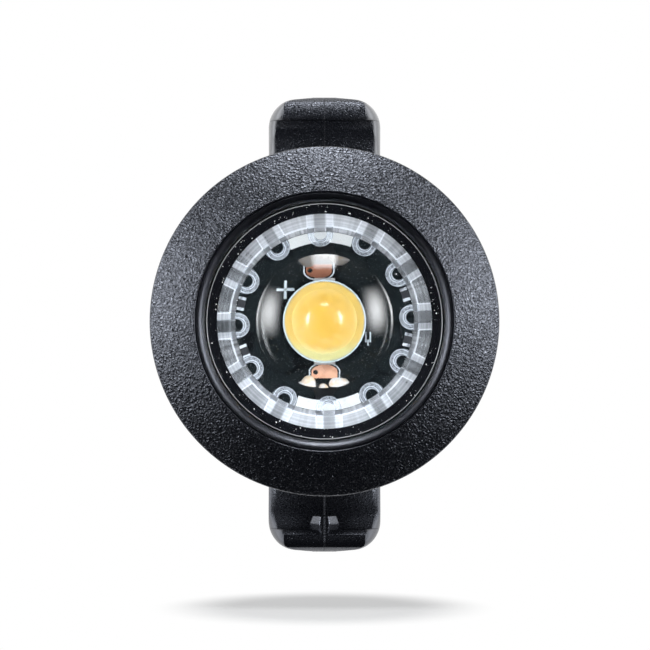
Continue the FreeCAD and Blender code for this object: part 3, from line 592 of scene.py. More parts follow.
def clear_plastic(name, ribs):
    """Clear moulding. Its foot faces the board and is etched, so it scatters: fine turned lines on
    the skirt. Painted light is mixed into that white: painted highlights on the skirt's inner
    edge, the lens's outer edge and the edges of the rib walls (the pale outlines on the ribs),
    a painted reflection on the rib walls, more white towards the top and bottom where more light
    falls, and painted shade in the rib hollows."""
    shade = Shade(name)
    radius, angle = shade.polar()
    _, y, z = shade.xyz()
    flow = shade.noise(0.5, 2.0, 0.5)
    scratches = shade.noise(3.0, 4.0, 0.7)
    glass = shade.surface(
        Base_Color=(0.97, 0.985, 1.0),
        Roughness=0.015,
        IOR=1.585,
        Transmission_Weight=1.0,
        Normal=shade.bump(flow * 0.7 + scratches * 0.3, 0.004),
    )
    lines = shade.lines(radius, 4.5, 2.0, 0.6)
    wall = rib_walls(shade)
    cloud = shade.noise(1.2, 3.0, 0.6)
    smear = shade.noise(2.6, 2.0, 0.6, 1.5)
    streaks = shade.lines(angle, 5.0, 3.0, 0.7).above(0.5, 0.22)
    ring = lines.above(0.52, 0.3)
    white = shade.mix(ring, (0.84, 0.85, 0.88), (0.96, 0.97, 1.0))
    etched = shade.surface(Base_Color=white, Roughness=0.6)
    foot = y.above(-LENS_FOOT - 0.12, 0.05)
    outline = abs(wall).above(0.2, 0.12)
    if ribs:
        # Painted highlight: the edges of the rib walls (outline) are whiter
        share = foot * (0.06 + 0.5 * smear + 0.55 * outline)
    else:
        # Painted light: more white towards the top and bottom, where more light falls
        painted_light_top_bottom = abs(z) / radius
        # Painted reflection: the rib walls are whiter than the foot around them
        painted_reflection_in_walls = abs(wall).below(RIB_WALL / 2, 0.15)
        # Painted highlight on the edges of the rib walls
        sides = abs(wall - RIB_WALL / 2).below(0.07, 0.1)
        # Painted highlight on the skirt's inner edge
        inner = abs(radius - (SKIRT_INNER + 0.08)).below(0.08, 0.06)
        # Painted highlight on the lens's outer edge
        edge = radius.above(LENS_RADIUS - 0.1, 0.05)
        # Painted shade: less white inside the rib hollows
        hollow = 1 - (wall * -1).above(RIB_WALL / 2 + 0.1, 0.2) * 0.35
        haze = (0.02 + painted_light_top_bottom**3 * 0.5 + streaks * 0.12 + cloud * 0.14 + ring * 0.06) * hollow
        slope = radius.below(SKIRT_INNER + 0.01, 0.01) * y.above(-PLATE_REAR + 0.08, 0.05)
        between = 1 - wall.below(RIB_WALL / 2, 0.12) * 0.85
        share = foot * (haze + painted_reflection_in_walls * 0.22 + sides * 0.4 + inner * 0.5 * between)
        streaked = (0.15 + painted_light_top_bottom * 0.15 + streaks * 0.4) * between + painted_reflection_in_walls * 0.4
        share = share + edge * 0.35 + slope * streaked
    return shade.done(lamp_light(shade, shade.blend(share, glass, etched), (0.92, 0.94, 0.96)))


def clear_silicone():
    shade = Shade("clear_silicone")
    ripple = shade.noise(0.8, 2.0, 0.5)
    glass = shade.surface(
        Base_Color=(1.0, 0.99, 0.94),
        Roughness=0.3,
        IOR=1.41,
        Transmission_Weight=1.0,
        Normal=shade.bump(ripple, 0.01),
        Coat_Weight=1.0,
        Coat_IOR=2.4,
        Coat_Roughness=0.2,
    )
    return shade.done(lamp_light(shade, glass, (1.0, 0.97, 0.86)))


def phosphor_yellow():
    """Phosphor: deep yellow in the middle, paler towards its rim, mottled; the rim's lower side is
    greener, painted light.
    """
    shade = Shade("phosphor")
    radius, _ = shade.polar()
    _, _, z = shade.xyz()
    mottle = shade.noise(1.1, 3.0, 0.6)
    grain = shade.noise(14.0, 2.0, 0.6)
    rim = (radius + (mottle - 0.5) * 0.5).above(2.0, 1.1)
    warm = shade.mix(mottle, (0.95, 0.58, 0.07), (0.95, 0.68, 0.15))
    # Painted light: the rim turns greener below the middle
    pale = shade.mix(z.above(-1.7, 1.4), (0.78, 0.84, 0.55), (0.90, 0.69, 0.26))
    base = shade.mix(rim * 0.8, warm, pale)
    return shade.opaque(Base_Color=base, Roughness=0.5, Normal=shade.bump(grain, 0.012))


def led_white():
    shade = Shade("led_white")
    mottle = shade.noise(3.0, 2.0, 0.5)
    base = shade.mix(mottle, (0.50, 0.58, 0.60), (0.62, 0.70, 0.72))
    return shade.opaque(Base_Color=base, Roughness=0.3 + mottle * 0.1)


def board_black():
    """Glossy solder mask: copper planes show as faintly raised and lighter areas with fine
    gaps between them, with small pits and specks."""
    shade = Shade("board_black")
    plane = shade.cells(0.22, "DISTANCE_TO_EDGE").above(0.035, 0.02)
    fine = shade.noise(6.0, 3.0, 0.6)
    specks = shade.noise(11.0, 1.0, 0.5).above(0.72, 0.03)
    base = shade.mix(plane, (0.004, 0.005, 0.006), (0.009, 0.012, 0.013))
    dusty = shade.mix(specks * 0.6, base, (0.25, 0.25, 0.24))
    normal = shade.bump(plane * 0.8 + fine * 0.12 + specks * 0.4, 0.03)
    rough = 0.12 + fine * 0.1 + specks * 0.3
    return shade.opaque(Base_Color=dusty, Roughness=rough, Normal=normal)


def metal(
    name, colour, dull, roughness, spread=0.2, lines=0.0, bump=0.02, metallic=1.0, top=None,
    masked=None,
):
    """Metal with mottled tarnish and, where lines is over 0, fine circular brushing. Above the
    light's axis it may take the top colour, a painted shade for the part that is lit less, and
    be duller; between the two masked radii it is under the board's black mask."""
    shade = Shade(name)
    radius, _ = shade.polar()
    cloud = shade.noise(1.3, 3.0, 0.6)
    grain = shade.noise(12.0, 3.0, 0.6)
    rings = shade.lines(radius, 14.0, 3.0, 0.7)
    base = shade.mix(cloud.above(0.55, 0.3), colour, dull)
    rough = roughness + (cloud - 0.5) * spread + grain * 0.06
    # Painted shade: above the axis the colour turns to the darker top colour
    if top:
        _, _, z = shade.xyz()
        upper = z.above(0.5, 1.0)
        base = shade.mix(upper * 0.85, base, top)
        rough = rough + upper * 0.25
    if masked:
        inner, outer = masked
        covered = radius.below(outer, 0.05) * radius.above(inner, 0.1)
        base = shade.mix(covered, base, (0.012, 0.013, 0.014))
    normal = shade.bump(grain * (1 - lines) + rings * lines, bump)
    return shade.opaque(Base_Color=base, Metallic=metallic, Roughness=rough, Normal=normal)


def plain_plastic(name, dark, light, roughness, scale=5.0, bump=0.03):
    shade = Shade(name)
    cloud = shade.noise(0.7, 3.0, 0.6)
    grain = shade.noise(scale, 3.0, 0.6)
    base = shade.mix(grain * 0.6 + cloud * 0.4, dark, light)
    rough = roughness + (grain - 0.5) * 0.2 + (cloud - 0.5) * 0.1
    return shade.opaque(Base_Color=base, Roughness=rough, Normal=shade.bump(grain, bump))


def white_ink():
    shade = Shade("board_ink")
    grain = shade.noise(9.0, 3.0, 0.6)
    base = shade.mix(grain, (0.62, 0.68, 0.72), (0.86, 0.90, 0.93))
    return shade.opaque(Base_Color=base, Roughness=0.55, Normal=shade.bump(grain, 0.01))


def dust_white():
    shade = Shade("dust")
    grain = shade.noise(20.0, 1.0, 0.5)
    base = shade.mix(grain, (0.55, 0.55, 0.55), (0.95, 0.95, 0.95))
    return shade.opaque(Base_Color=base, Roughness=0.8)


# Darker and lighter colour, roughness and, where they differ, scale and depth of the grain
PLASTICS = {
    "seal_rubber": ((0.012,) * 3, (0.03,) * 3, 0.6),
    "pad_rubber": ((0.014,) * 3, (0.034, 0.034, 0.036), 0.72, 4.0, 0.06),
    "chip_body": ((0.02, 0.02, 0.022), (0.05, 0.05, 0.054), 0.45),
    "switch_plastic": ((0.03,) * 3, (0.06,) * 3, 0.5),
    "plunger_plastic": ((0.4, 0.16, 0.06), (0.5, 0.22, 0.09), 0.45),
    "grey_cap": ((0.09,) * 3, (0.13, 0.13, 0.135), 0.5),
}

# Bright and tarnished colour, roughness and what differs from plain metal; top is a painted
# # shade colour for the part above the light's axis
METALS = {
    "copper": dict(
        colour=(1.0, 0.55, 0.36), dull=(0.82, 0.40, 0.25), roughness=0.5, metallic=0.3,
        # top: painted shade above the light's axis
        top=(0.28, 0.09, 0.045),
    ),
    "tinned_metal": dict(
        colour=(0.98, 0.97, 0.95), dull=(0.86, 0.84, 0.80), roughness=0.32, metallic=0.3,
        # top: painted shade above the light's axis
        top=(0.88, 0.86, 0.82), masked=TABS_COVERED,
    ),
    "chip_tin": dict(
        colour=(0.85, 0.87, 0.90), dull=(0.18, 0.18, 0.19), roughness=0.3, metallic=0.3,
        bump=0.06,
    ),
    "solder": dict(
        colour=(1.0, 0.99, 0.97), dull=(1.0, 0.70, 0.40), roughness=0.18, metallic=0.3,
        # top: painted shade above the light's axis
        bump=0.05, top=(0.13, 0.105, 0.085),
    ),
    "cell_steel": dict(
        colour=(0.78, 0.78, 0.79), dull=(0.66, 0.66, 0.66), roughness=0.28, spread=0.15,
        lines=0.8,
    ),
    "spring_steel": dict(
        colour=(0.76, 0.73, 0.66), dull=(0.6, 0.57, 0.5), roughness=0.3, spread=0.15,
    ),
    "screw_steel": dict(
        colour=(0.68, 0.69, 0.72), dull=(0.5, 0.51, 0.54), roughness=0.34, lines=0.5,
    ),
}

MATERIALS = {
    "black_grained": bezel_black(),
    "black_base": grained_black("black_base", 5.6, 1.2, 0.22, 1.0, True),
    "black_case": grained_black("black_case", 4.4, 1.8, 0.36, 0.5),
    "black_gloss": gloss_black(),
    "clear_lens": clear_plastic("clear_lens", False),
    "clear_ribs": clear_plastic("clear_ribs", True),
    "clear_silicone": clear_silicone(),
    "board_black": board_black(),
    "led_white": led_white(),
    "phosphor": phosphor_yellow(),
    "board_ink": white_ink(),
    "dust": dust_white(),
    **{name: plain_plastic(name, *values) for name, values in PLASTICS.items()},
    **{name: metal(name, **values) for name, values in METALS.items()},
}


def dress_cad_nodes():
    """Gives every carried-over node the material of its slot."""
    for entry in frame["record"]["subparts"]:
        node = frame["nodes"][entry["node"]]
        node.data.materials.clear()
        node.data.materials.append(MATERIALS[entry["material_slot"]])


# Front ring

def front_ring():
    """Turned ring. Its cone is a chord hollowed outwards by a parabola; inside the barrel the
    radius steps out to the bayonet track where the angle and depth lie in a track."""
    crest = CREASE - CREASE_HALF
    outer_crest = CREASE + CREASE_HALF
    edge = BEZEL_FRONT - CONE_DROP
    share = np.linspace(0, CONE_END, 30)[1:]
    cone_r = outer_crest + share * (BEZEL_RADIUS - outer_crest)
    cone_d = BEZEL_FRONT - share * CONE_DROP + 4 * CONE_SAG * share * (1 - share)
    front = rounded([
        (BORE, STOP_DEPTH, 0.0),
        (BORE, BEZEL_FRONT, LIP),
        (crest, BEZEL_FRONT, 0.02),
        (CREASE, BEZEL_FRONT - CREASE_DEPTH, 0.03),
        (outer_crest, BEZEL_FRONT, 0.05),
        (BEZEL_RADIUS, edge, 0.0),
    ], 12)[:-1]
    rear = rounded([
        (cone_r[-1], cone_d[-1], 0.0),
        (BEZEL_RADIUS, edge, EDGE_ROUND),
        (BEZEL_RADIUS, edge - RIM, EDGE_ROUND),
        (BARREL, edge - RIM, BARREL_BLEND),
        (BARREL, BEZEL_REAR, 0.3),
        (SKIRT_BORE, BEZEL_REAR, 0.0),
        (SKIRT_BORE, TRACK_REAR - HAIR, 0.0),
        (SKIRT_BORE, TRACK_REAR, 0.0),
        (SKIRT_BORE, TRACK_FRONT, 0.0),
        (SKIRT_BORE, TRACK_FRONT + HAIR, 0.0),
        (SKIRT_BORE, NECK_FRONT + NECK_GAP, 0.0),
        (SHOULDER, NECK_FRONT + NECK_GAP, 0.0),
        (SHOULDER, STOP_DEPTH, 0.0),
        (outer_crest, STOP_DEPTH, 0.0),
    ], 8)[1:-1]
    profile = np.concatenate([front, np.stack([cone_r, cone_d], axis=-1), rear])
    points, groups = turned(profile, 480)
    part = (cut_tracks(points), groups)
    piece("front_ring", [part], "bezel_ring", "black_grained", ["bezel"], 28.0)


def cut_tracks(points):
    """Moves the skirt bore's vertices out to the track radius in the tracks and entries."""
    radius = np.hypot(points[:, 0], points[:, 2])
    angle = np.degrees(np.arctan2(points[:, 2], points[:, 0]))
    depth = -points[:, 1]
    on_bore = (np.abs(radius - SKIRT_BORE) < SLACK) & (depth <= TRACK_FRONT + SLACK)
    moved = np.zeros(len(points), bool)
    for middle in TRACK_ANGLES:
        turn = (angle - middle + 180) % 360 - 180
        track = (turn > -TRACK_HALF - TRACK_TURN) & (turn < TRACK_HALF)
        entry = track & (turn < TRACK_HALF - TRACK_TURN)
        moved |= on_bore & (entry | track & (depth >= TRACK_REAR - SLACK))
    scale = np.where(moved, TRACK_RADIUS / SKIRT_BORE, 1.0)
    return points * np.stack([scale, np.ones_like(scale), scale], axis=-1)


# Lens

def lens_window():
    """Plate with a convex centre and a skirt, turned. The bulge is an arc of a circle that
    runs into the flat plate through a concave arc; both have the same slope where they meet:
    (R + f)(1 - cos a) is the bulge's height for bulge radius R and fillet radius f."""
    front = PLATE_REAR + PLATE_THICKNESS
    half = math.acos(1 - (LENS_APEX - front) / (BULGE_CURVE + BULGE_FILLET))
    arc = np.linspace(0, half, 44)[::-1]
    centre = LENS_APEX - BULGE_CURVE
    bulge = np.stack([BULGE_CURVE * np.sin(arc), centre + BULGE_CURVE * np.cos(arc)], axis=-1)
    middle = (BULGE_CURVE + BULGE_FILLET) * math.sin(half)
    bend = np.linspace(0, half, 12)[:-1]
    fillet = np.stack([
        middle - BULGE_FILLET * np.sin(bend),
        front + BULGE_FILLET * (1 - np.cos(bend)),
    ], axis=-1)
    rim = rounded([
        (5.0, PLATE_REAR, 0.0),
        (SKIRT_INNER - SKIRT_DRAFT, PLATE_REAR, 0.06),
        (SKIRT_INNER, LENS_FOOT, 0.08),
        (SKIRT_OUTER, LENS_FOOT, 0.08),
        (SKIRT_OUTER, PLATE_REAR + PLATE_LIFT, 0.03),
        (LENS_RADIUS, PLATE_REAR + PLATE_LIFT, 0.1),
        (LENS_RADIUS, front, 0.18),
        (middle + 0.3, front, 0.0),
    ], 6)
    profile = np.concatenate([[[0, PLATE_REAR]], rim, fillet, bulge])
    piece("lens_window", [turned(profile, 288)], "push_unit", "clear_lens", ["lens"], 24.0)


def rib_part(angle):
    """One U-shaped wall: a drafted section (offset, depth) carried along a U path. The path
    runs in from the skirt, round the tip's semicircle and out again."""
    outer = RIB_WIDTH / 2
    tip_centre = RIB_TIP + outer
    half = RIB_WALL / 2
    straight = np.linspace(SKIRT_INNER - HAIR, tip_centre, 6)
    bend = np.linspace(math.pi / 2, 3 * math.pi / 2, 25)[1:-1]
    centre = np.concatenate([straight, 0 * bend + tip_centre, straight[::-1]])[:, None]
    normal_u = np.concatenate([0 * straight, np.cos(bend), 0 * straight])[:, None]
    normal_v = np.concatenate([0 * straight + 1, np.sin(bend), 0 * straight - 1])[:, None]
    section = rounded([
        (-half, PLATE_REAR - HAIR, 0.0),
        (-half + RIB_DRAFT, LENS_FOOT, 0.1),
        (half - RIB_DRAFT, LENS_FOOT, 0.1),
        (half, PLATE_REAR - HAIR, 0.0),
    ], 4)
    offset, depth = section.T
    reach = outer - half + offset
    points = vertices(centre + normal_u * reach, -depth, normal_v * reach)
    return spun(points, angle), tube_faces(len(centre), len(section))


def lens_ribs():
    parts = [rib_part(RIB_CLOCK + 360.0 * k / RIB_COUNT) for k in range(RIB_COUNT)]
    piece("lens_ribs", parts, "push_unit", "clear_lens", (), 30.0, "clear_ribs")


def lens_dust():
    """Fine dust on the lens and its rim: small flattened grains of uneven size, each a ring
    of six corners between two points."""
    draw = np.random.default_rng(11)
    share = draw.random(DUST_COUNT)
    rim = draw.random(DUST_COUNT) < DUST_ON_RIM
    radius = np.where(rim, DUST_RIM + DUST_RIM_WIDTH * share, DUST_WINDOW * np.sqrt(share))
    angle = draw.random(DUST_COUNT) * 360
    size = DUST_SMALLEST + DUST_SPREAD * draw.random(DUST_COUNT) ** 3
    keep = radius > BULGE_EDGE + 0.3
    shape = np.array([
        [1, 0, 0], [0.5, 0, 0.8], [-0.5, 0, 0.8], [-1, 0, 0], [-0.5, 0, -0.8], [0.5, 0, -0.8],
        [0, -0.5, 0], [0, 0.2, 0],
    ])
    faces = pole_faces(1, 6)[1:]
    parts = []
    for r, a, s in zip(radius[keep], angle[keep], size[keep]):
        grown = shape * s * draw.uniform(0.7, 1.3, (8, 1))
        place = np.array([r, -(PLATE_REAR + PLATE_THICKNESS + 0.2 * s), 0.0])
        parts.append((spun(spun(grown, 3 * a) + place, a), faces))
    piece("lens_dust", parts, "push_unit", "clear_lens", (), 60.0, "dust")


# LED

def led_dome():
    """Clear dome: it fills the cup up to its rim and rises in the middle as a spherical cap."""
    height = DOME_TOP - LED_FRONT
    curve = (DOME_RADIUS**2 + height**2) / (2 * height)
    half = math.acos((curve - height) / curve)
    arc = np.linspace(half, 0, 40)
    cap = np.stack([curve * np.sin(arc), DOME_TOP - curve + curve * np.cos(arc)], axis=-1)
    rear = PHOSPHOR_FRONT + HAIR
    fill = np.array([
        [0, rear], [1.5, rear], [PHOSPHOR_RADIUS, rear], [CUP_RADIUS - HAIR, LED_FRONT],
        [DOME_RADIUS + 0.15, LED_FRONT + HAIR],
    ])
    profile = np.concatenate([fill, cap])
    part = turned(profile, 160)
    piece("led_clear_dome", [part], "push_unit", "clear_silicone", ["led_dome"], 30.0)


# Board details

def solder_blobs():
    """Mounds over the ends of the tongues: half ellipsoids on short walls. Their radius wavers
    with the angle, r(a) = R (1 + 0.12 sin(2a + p) + 0.08 sin(3a + q)), with drawn p and q."""
    draw = np.random.default_rng(5)
    angles = np.arange(36) * math.pi / 18
    rise = np.linspace(0, math.pi / 2, 12)[:-1, None]
    foot = BOARD_FRONT + HAIR
    parts = []
    for sign in (1, -1):
        for x, z, size in SOLDER_BLOBS:
            phase = draw.random(3) * 6
            waver = 1 + 0.12 * np.sin(2 * angles + phase[0]) + 0.08 * np.sin(3 * angles + phase[1])
            radius = size * waver * np.cos(rise)
            top = BOARD_FRONT + SOLDER_WALL + SOLDER_CROWN * size / SOLDER_SCALE
            depth = top - SOLDER_CROWN * (1 - np.sin(rise))
            depth[0] = foot
            side = vertices(x + radius * np.cos(angles), -depth, sign * z + radius * np.sin(angles))
            poles = [[x, -foot, sign * z], [x, -top, sign * z]]
            parts.append((np.concatenate([side, poles]), pole_faces(*radius.shape)))
    piece("solder_blobs", parts, "push_unit", "solder", ["solder_joints"], 70.0)


def ribbon(path, width, rear, front):
    """Flat line of constant width along a path of (x, z) points, a closed slab between two
    depths; its sides are the path moved along its normals."""
    path = np.array(path, float)
    run = np.gradient(path, axis=0)
    run /= np.linalg.norm(run, axis=1)[:, None]
    normal = np.stack([-run[:, 1], run[:, 0]], axis=-1)
    section = np.array([[-1, rear], [1, rear], [1, front], [-1, front]])
    xz = path[:, None, :] + normal[:, None, :] * section[None, :, :1] * width / 2
    return vertices(xz[..., 0], -section[:, 1], xz[..., 1]), tube_faces(len(path), 4)


def slab(outline, rear, front):
    """Closed prism between two depths over an outline of (x, z) points."""
    x, z = np.array(outline, float).T
    return vertices(x, [[-rear], [-front]], z), tube_faces(2, len(x))


def pad_outline(shift, margin=0.0, outer=PAD_OUTER):
    """Straight outer end, straight sides and a half ellipse towards the LED."""
    half = PAD_HALF_WIDTH + margin
    bend = np.linspace(math.pi, 2 * math.pi, 25)
    x = shift + half * np.cos(bend)
    z = PAD_BEND + (PAD_BEND - PAD_INNER + margin) * np.sin(bend)
    curve = np.stack([x, z], axis=-1)
    return np.concatenate([[[shift - half, outer]], curve, [[shift + half, outer]]])


def pads():
    """Copper pads on the board, each under a dark plated hole."""
    copper, holes = [], []
    angle = np.arange(20) * math.pi / 10
    ring = VIA_RADIUS * np.stack([np.cos(angle), np.sin(angle)], axis=-1)
    for sign, shift in zip((1, -1), PAD_SHIFT):
        outline = pad_outline(shift) * [1, sign]
        copper.append(slab(outline, BOARD_FRONT - HAIR, BOARD_FRONT + PAD_THICKNESS))
        place = np.array([shift + VIA_PLACE[0], sign * VIA_PLACE[1]])
        holes.append(slab(ring + place, BOARD_FRONT, BOARD_FRONT + VIA_STAND))
    piece("pads", copper, "push_unit", "copper", ["copper_pads"])
    piece("pad_holes", holes, "push_unit", "board_black")


def chips():
    """Four chips on the board, each a dark body between two tinned ends."""
    bodies, ends = [], []
    tip = CHIP_LENGTH / 2
    inner = tip - CHIP_END
    for angle in CHIP_ANGLES:
        for foot, top, swell, parts in (
            (-inner, inner, 0.0, bodies),
            (-tip, -inner, CHIP_SWELL, ends),
            (inner, tip, CHIP_SWELL, ends),
        ):
            half = CHIP_WIDTH / 2 + swell
            left, right = CHIP_RING - half, CHIP_RING + half
            outline = [(left, foot), (right, foot), (right, top), (left, top)]
            points, groups = slab(outline, BOARD_FRONT, CHIP_FRONT - CHIP_DROP + swell)
            parts.append((spun(points, angle), groups))
    piece("chips", bodies, "push_unit", "chip_body", ["chip_resistors"])
    piece("chip_ends", ends, "push_unit", "tinned_metal", finish="chip_tin")


def board_marks():
    """White ink: a line round each pad, a plus sign and short ticks by the LED."""
    span = (BOARD_FRONT - INK_SUNK, BOARD_FRONT + INK_STAND)
    parts = []
    for sign, shift in zip((1, -1), PAD_SHIFT):
        outline = pad_outline(shift, LINE_MARGIN, LINE_OUTER) * [1, sign]
        parts.append(ribbon(outline, LINE_WIDTH, *span))
    x, z = PLUS_PLACE
    for dx, dz in ((1, 0), (0, 1)):
        path = [(x + dx * t, z + dz * t) for t in (-PLUS_HALF, 0.0, PLUS_HALF)]
        parts.append(ribbon(path, PLUS_WIDTH, *span))
    for x, z, half in TICKS:
        parts.append(ribbon([(x, z - half), (x, z), (x, z + half)], TICK_WIDTH, *span))
    piece("board_marks", parts, "push_unit", "board_black", finish="board_ink")


# Mount base

def arm_stations(reach):
    """Heights, front depths, bevel widths and how far a bevel takes up the side, from root to
    tip: a flat root, the groove (a chord hollowed by a parabola) and the bead (an arc of a
    circle), whose ends are bevelled back from its narrower face."""
    groove_foot = BASE_RADIUS + GROOVE_GAP
    bead_centre = reach - BEAD_RADIUS
    bead_foot = bead_centre - BEAD_FOOT * BEAD_RADIUS
    root = np.linspace(ARM_ROOT, groove_foot - 0.05, 5)
    groove = np.linspace(groove_foot, bead_foot, 30)
    share = np.linspace(0, 1, 30)
    angle = np.linspace(*np.radians(BEAD_ARC), 34)
    bead = bead_centre + BEAD_RADIUS * np.sin(angle)
    bead[0] = bead_foot + 0.03
    height = np.concatenate([root, groove, bead])
    chord = GROOVE_START + share * (GROOVE_END - GROOVE_START)
    front = CASE_REAR + np.concatenate([
        0 * root,
        chord - 4 * GROOVE_SAG * share * (1 - share),
        BEAD_STAND - BEAD_RADIUS * (1 - np.cos(angle)),
    ])
    near = np.clip(1 - (groove[-1] - groove) / BEVEL_RUN, 0, 1)
    swell = near**2 * (3 - 2 * near)
    half = arm_half_width(bead, reach)
    end_share = np.clip((bead - reach + BEAD_END) / BEAD_END, 0, 1)
    face_half = BEAD_HALF - BEAD_END * (1 - np.sqrt(1 - end_share**2))
    bevel = np.concatenate([
        np.full(len(root), FACE_ROUND_LOW),
        FACE_ROUND_LOW + (FACE_ROUND_HIGH - FACE_ROUND_LOW) * share
        + (BEVEL_FOOT - FACE_ROUND_HIGH) * swell,
        half - np.minimum(face_half, half - BEAD_RIM),
    ])
    full = np.concatenate([0 * root, swell, 0 * bead + 1])
    return height, front, bevel, full


def arm_rear(height, reach):
    """Back of the arm: flared at the root, then a quarter of an ellipse up to the tip."""
    knee = reach - ARM_BACK_SETBACK
    flat = CASE_REAR - ARM_BACK_DEPTH
    root = flat - ROOT_FLARE * (np.clip(knee - height, 0, None) / (knee - ARM_ROOT)) ** 2
    share = np.clip((height - knee) / ARM_BACK_SETBACK, 0, 1)
    return root + ARM_BACK_RISE * (1 - np.sqrt(1 - share**2))


def arm_half_width(height, reach):
    """Straight sides, rounded corners and an end crowned about the light's axis."""
    corner_x = ARM_WIDTH / 2 - ARM_CORNER
    corner_z = math.sqrt(reach**2 - corner_x**2) - ARM_CORNER
    over = np.clip(height - corner_z, 0, ARM_CORNER)
    rounded_part = corner_x + np.sqrt(ARM_CORNER**2 - over**2)
    crown = np.sqrt(np.clip(reach**2 - height**2, 0, None))
    return np.where(height <= corner_z + ARM_CORNER, rounded_part, crown)


def hook_arm(reach, turn, drafted):
    """Arm as a grid of sections from root to tip. A section is a rectangle with round rear
    corners; its front corners are the outer part of a quarter of an ellipse, (1 - sin t,
    1 - cos t), that meets the face at an edge. On a drafted arm, and at the bead of either,
    that bevel takes up nearly the whole side."""
    height, front, bevel, full = arm_stations(reach)
    half = np.maximum(arm_half_width(height, reach), TIP_HALF_WIDTH)
    rear = np.minimum(arm_rear(height, reach), front - TIP_THICKNESS)
    thick = front - rear
    back = np.minimum(BACK_ROUND, ROUND_SHARE * np.minimum(thick, 2 * half))
    wide = np.minimum(bevel, ROUND_SHARE * half)
    whole = (thick - back) / BEVEL_LIMIT
    share = np.maximum(full, drafted)
    deep = share * whole + (1 - share) * np.minimum(bevel * BEVEL_RATIO, whole)
    quarter = np.linspace(0, math.pi / 2, 9)
    bend = np.linspace(math.pi / 2, BEVEL_START, 12)
    inward = (1 - np.sin(bend)) / (1 - math.sin(BEVEL_START))
    behind = 1 - np.cos(bend) / math.cos(BEVEL_START)
    rear_x = half[:, None] - back[:, None] * (1 - np.sin(quarter))
    rear_d = rear[:, None] + back[:, None] * (1 - np.cos(quarter))
    front_x = half[:, None] - wide[:, None] * inward
    front_d = front[:, None] - deep[:, None] * behind
    x = np.concatenate([rear_x, front_x, -front_x[:, ::-1], -rear_x[:, ::-1]], axis=1)
    d = np.concatenate([rear_d, front_d, front_d[:, ::-1], rear_d[:, ::-1]], axis=1)
    return spun(vertices(x, -d, height[:, None]), turn), tube_faces(*x.shape)


def band_catch():
    """Faceted catch: a six-sided outline that rises nearly straight and then closes in from
    both sides to a narrow front face."""
    top = -(REACH_DOWN - CATCH_TOP)
    right = [(half, -share * CATCH_HEIGHT) for half, share in CATCH_OUTLINE]
    outline = np.array(right + [(-x, z) for x, z in right[::-1]])
    middle = np.array([0.0, -CATCH_HEIGHT / 2])
    rows = []
    for stand, wide, tall in CATCH_LEVELS:
        x, z = (middle + (outline - middle) * [wide, tall]).T
        rows.append(vertices(x, -(CASE_REAR + stand), top + z))
    part = (np.concatenate(rows), tube_faces(len(rows), len(outline)))
    made = piece("band_catch", [part], "case", "black_base", (), 20.0)
    bevel = made.modifiers.new("edge", "BEVEL")
    bevel.width = CATCH_EDGE * MM
    bevel.segments = 2


def saddle_block():
    """The carried-over base without its arms: a merged copy, cut above and below the lips."""
    mesh = frame["nodes"]["mount_base"].data.copy()
    work = bmesh.new()
    work.from_mesh(mesh)
    bmesh.ops.remove_doubles(work, verts=work.verts, dist=1e-7)
    for sign in (1, -1):
        cut = bmesh.ops.bisect_plane(
            work,
            geom=work.verts[:] + work.edges[:] + work.faces[:],
            plane_co=(0, 0, sign * BLOCK_HALF_HEIGHT * MM),
            plane_no=(0, 0, sign),
            clear_outer=True,
        )
        edges = [e for e in cut["geom_cut"] if isinstance(e, bmesh.types.BMEdge)]
        bmesh.ops.holes_fill(work, edges=edges)
    work.to_mesh(mesh)
    work.free()
    mesh.name = "saddle_block"
    if mesh.has_custom_normals:
        mesh.attributes.remove(mesh.attributes["custom_normal"])
    dressed("saddle_block", mesh, "case", "black_base", ["mount_base"], 20.0)


def mount_base():
    saddle_block()
    piece("upper_arm", [hook_arm(REACH_UP, 0.0, 1.0)], "case", "black_base")
    piece("lower_arm", [hook_arm(REACH_DOWN, 180.0, 0.0)], "case", "black_base")
    band_catch()


# Stage: camera, lamps, floor and surroundings

CAMERA_DISTANCE = 600.0
CAMERA_PLANE = 42.75
VIEW_WIDTH = 74.29
SENSOR = 36.0
AXIS_PIXEL = (324.5, 321.3)
FRAME_PIXELS = 650.0
LAMP_TARGET = 42.0
FLOOR_HEIGHT = -33.0
FLOOR_HALF = 3000.0
SHADOW_DEPTH = 38.0
SHADOW_HALF_WIDTH = 15.0
SHADOW_HALF_LENGTH = 30.0
WHITE = (1.0, 1.0, 1.0)
LAMP_WHITE = (0.96, 0.98, 1.0)


def camera():
    data = bpy.data.cameras.new("photo_camera")
    data.sensor_width = SENSOR
    data.lens = SENSOR * CAMERA_DISTANCE / VIEW_WIDTH
    data.shift_x = 0.5 - AXIS_PIXEL[0] / FRAME_PIXELS
    data.shift_y = AXIS_PIXEL[1] / FRAME_PIXELS - 0.5
    data.clip_start = 0.01
    data.clip_end = 20.0
    made = into_scene("photo_camera", data)
    made.location = (0.0, -(CAMERA_PLANE + CAMERA_DISTANCE) * MM, 0.0)
    made.rotation_euler = (math.pi / 2, 0.0, 0.0)
    bpy.context.scene.camera = made


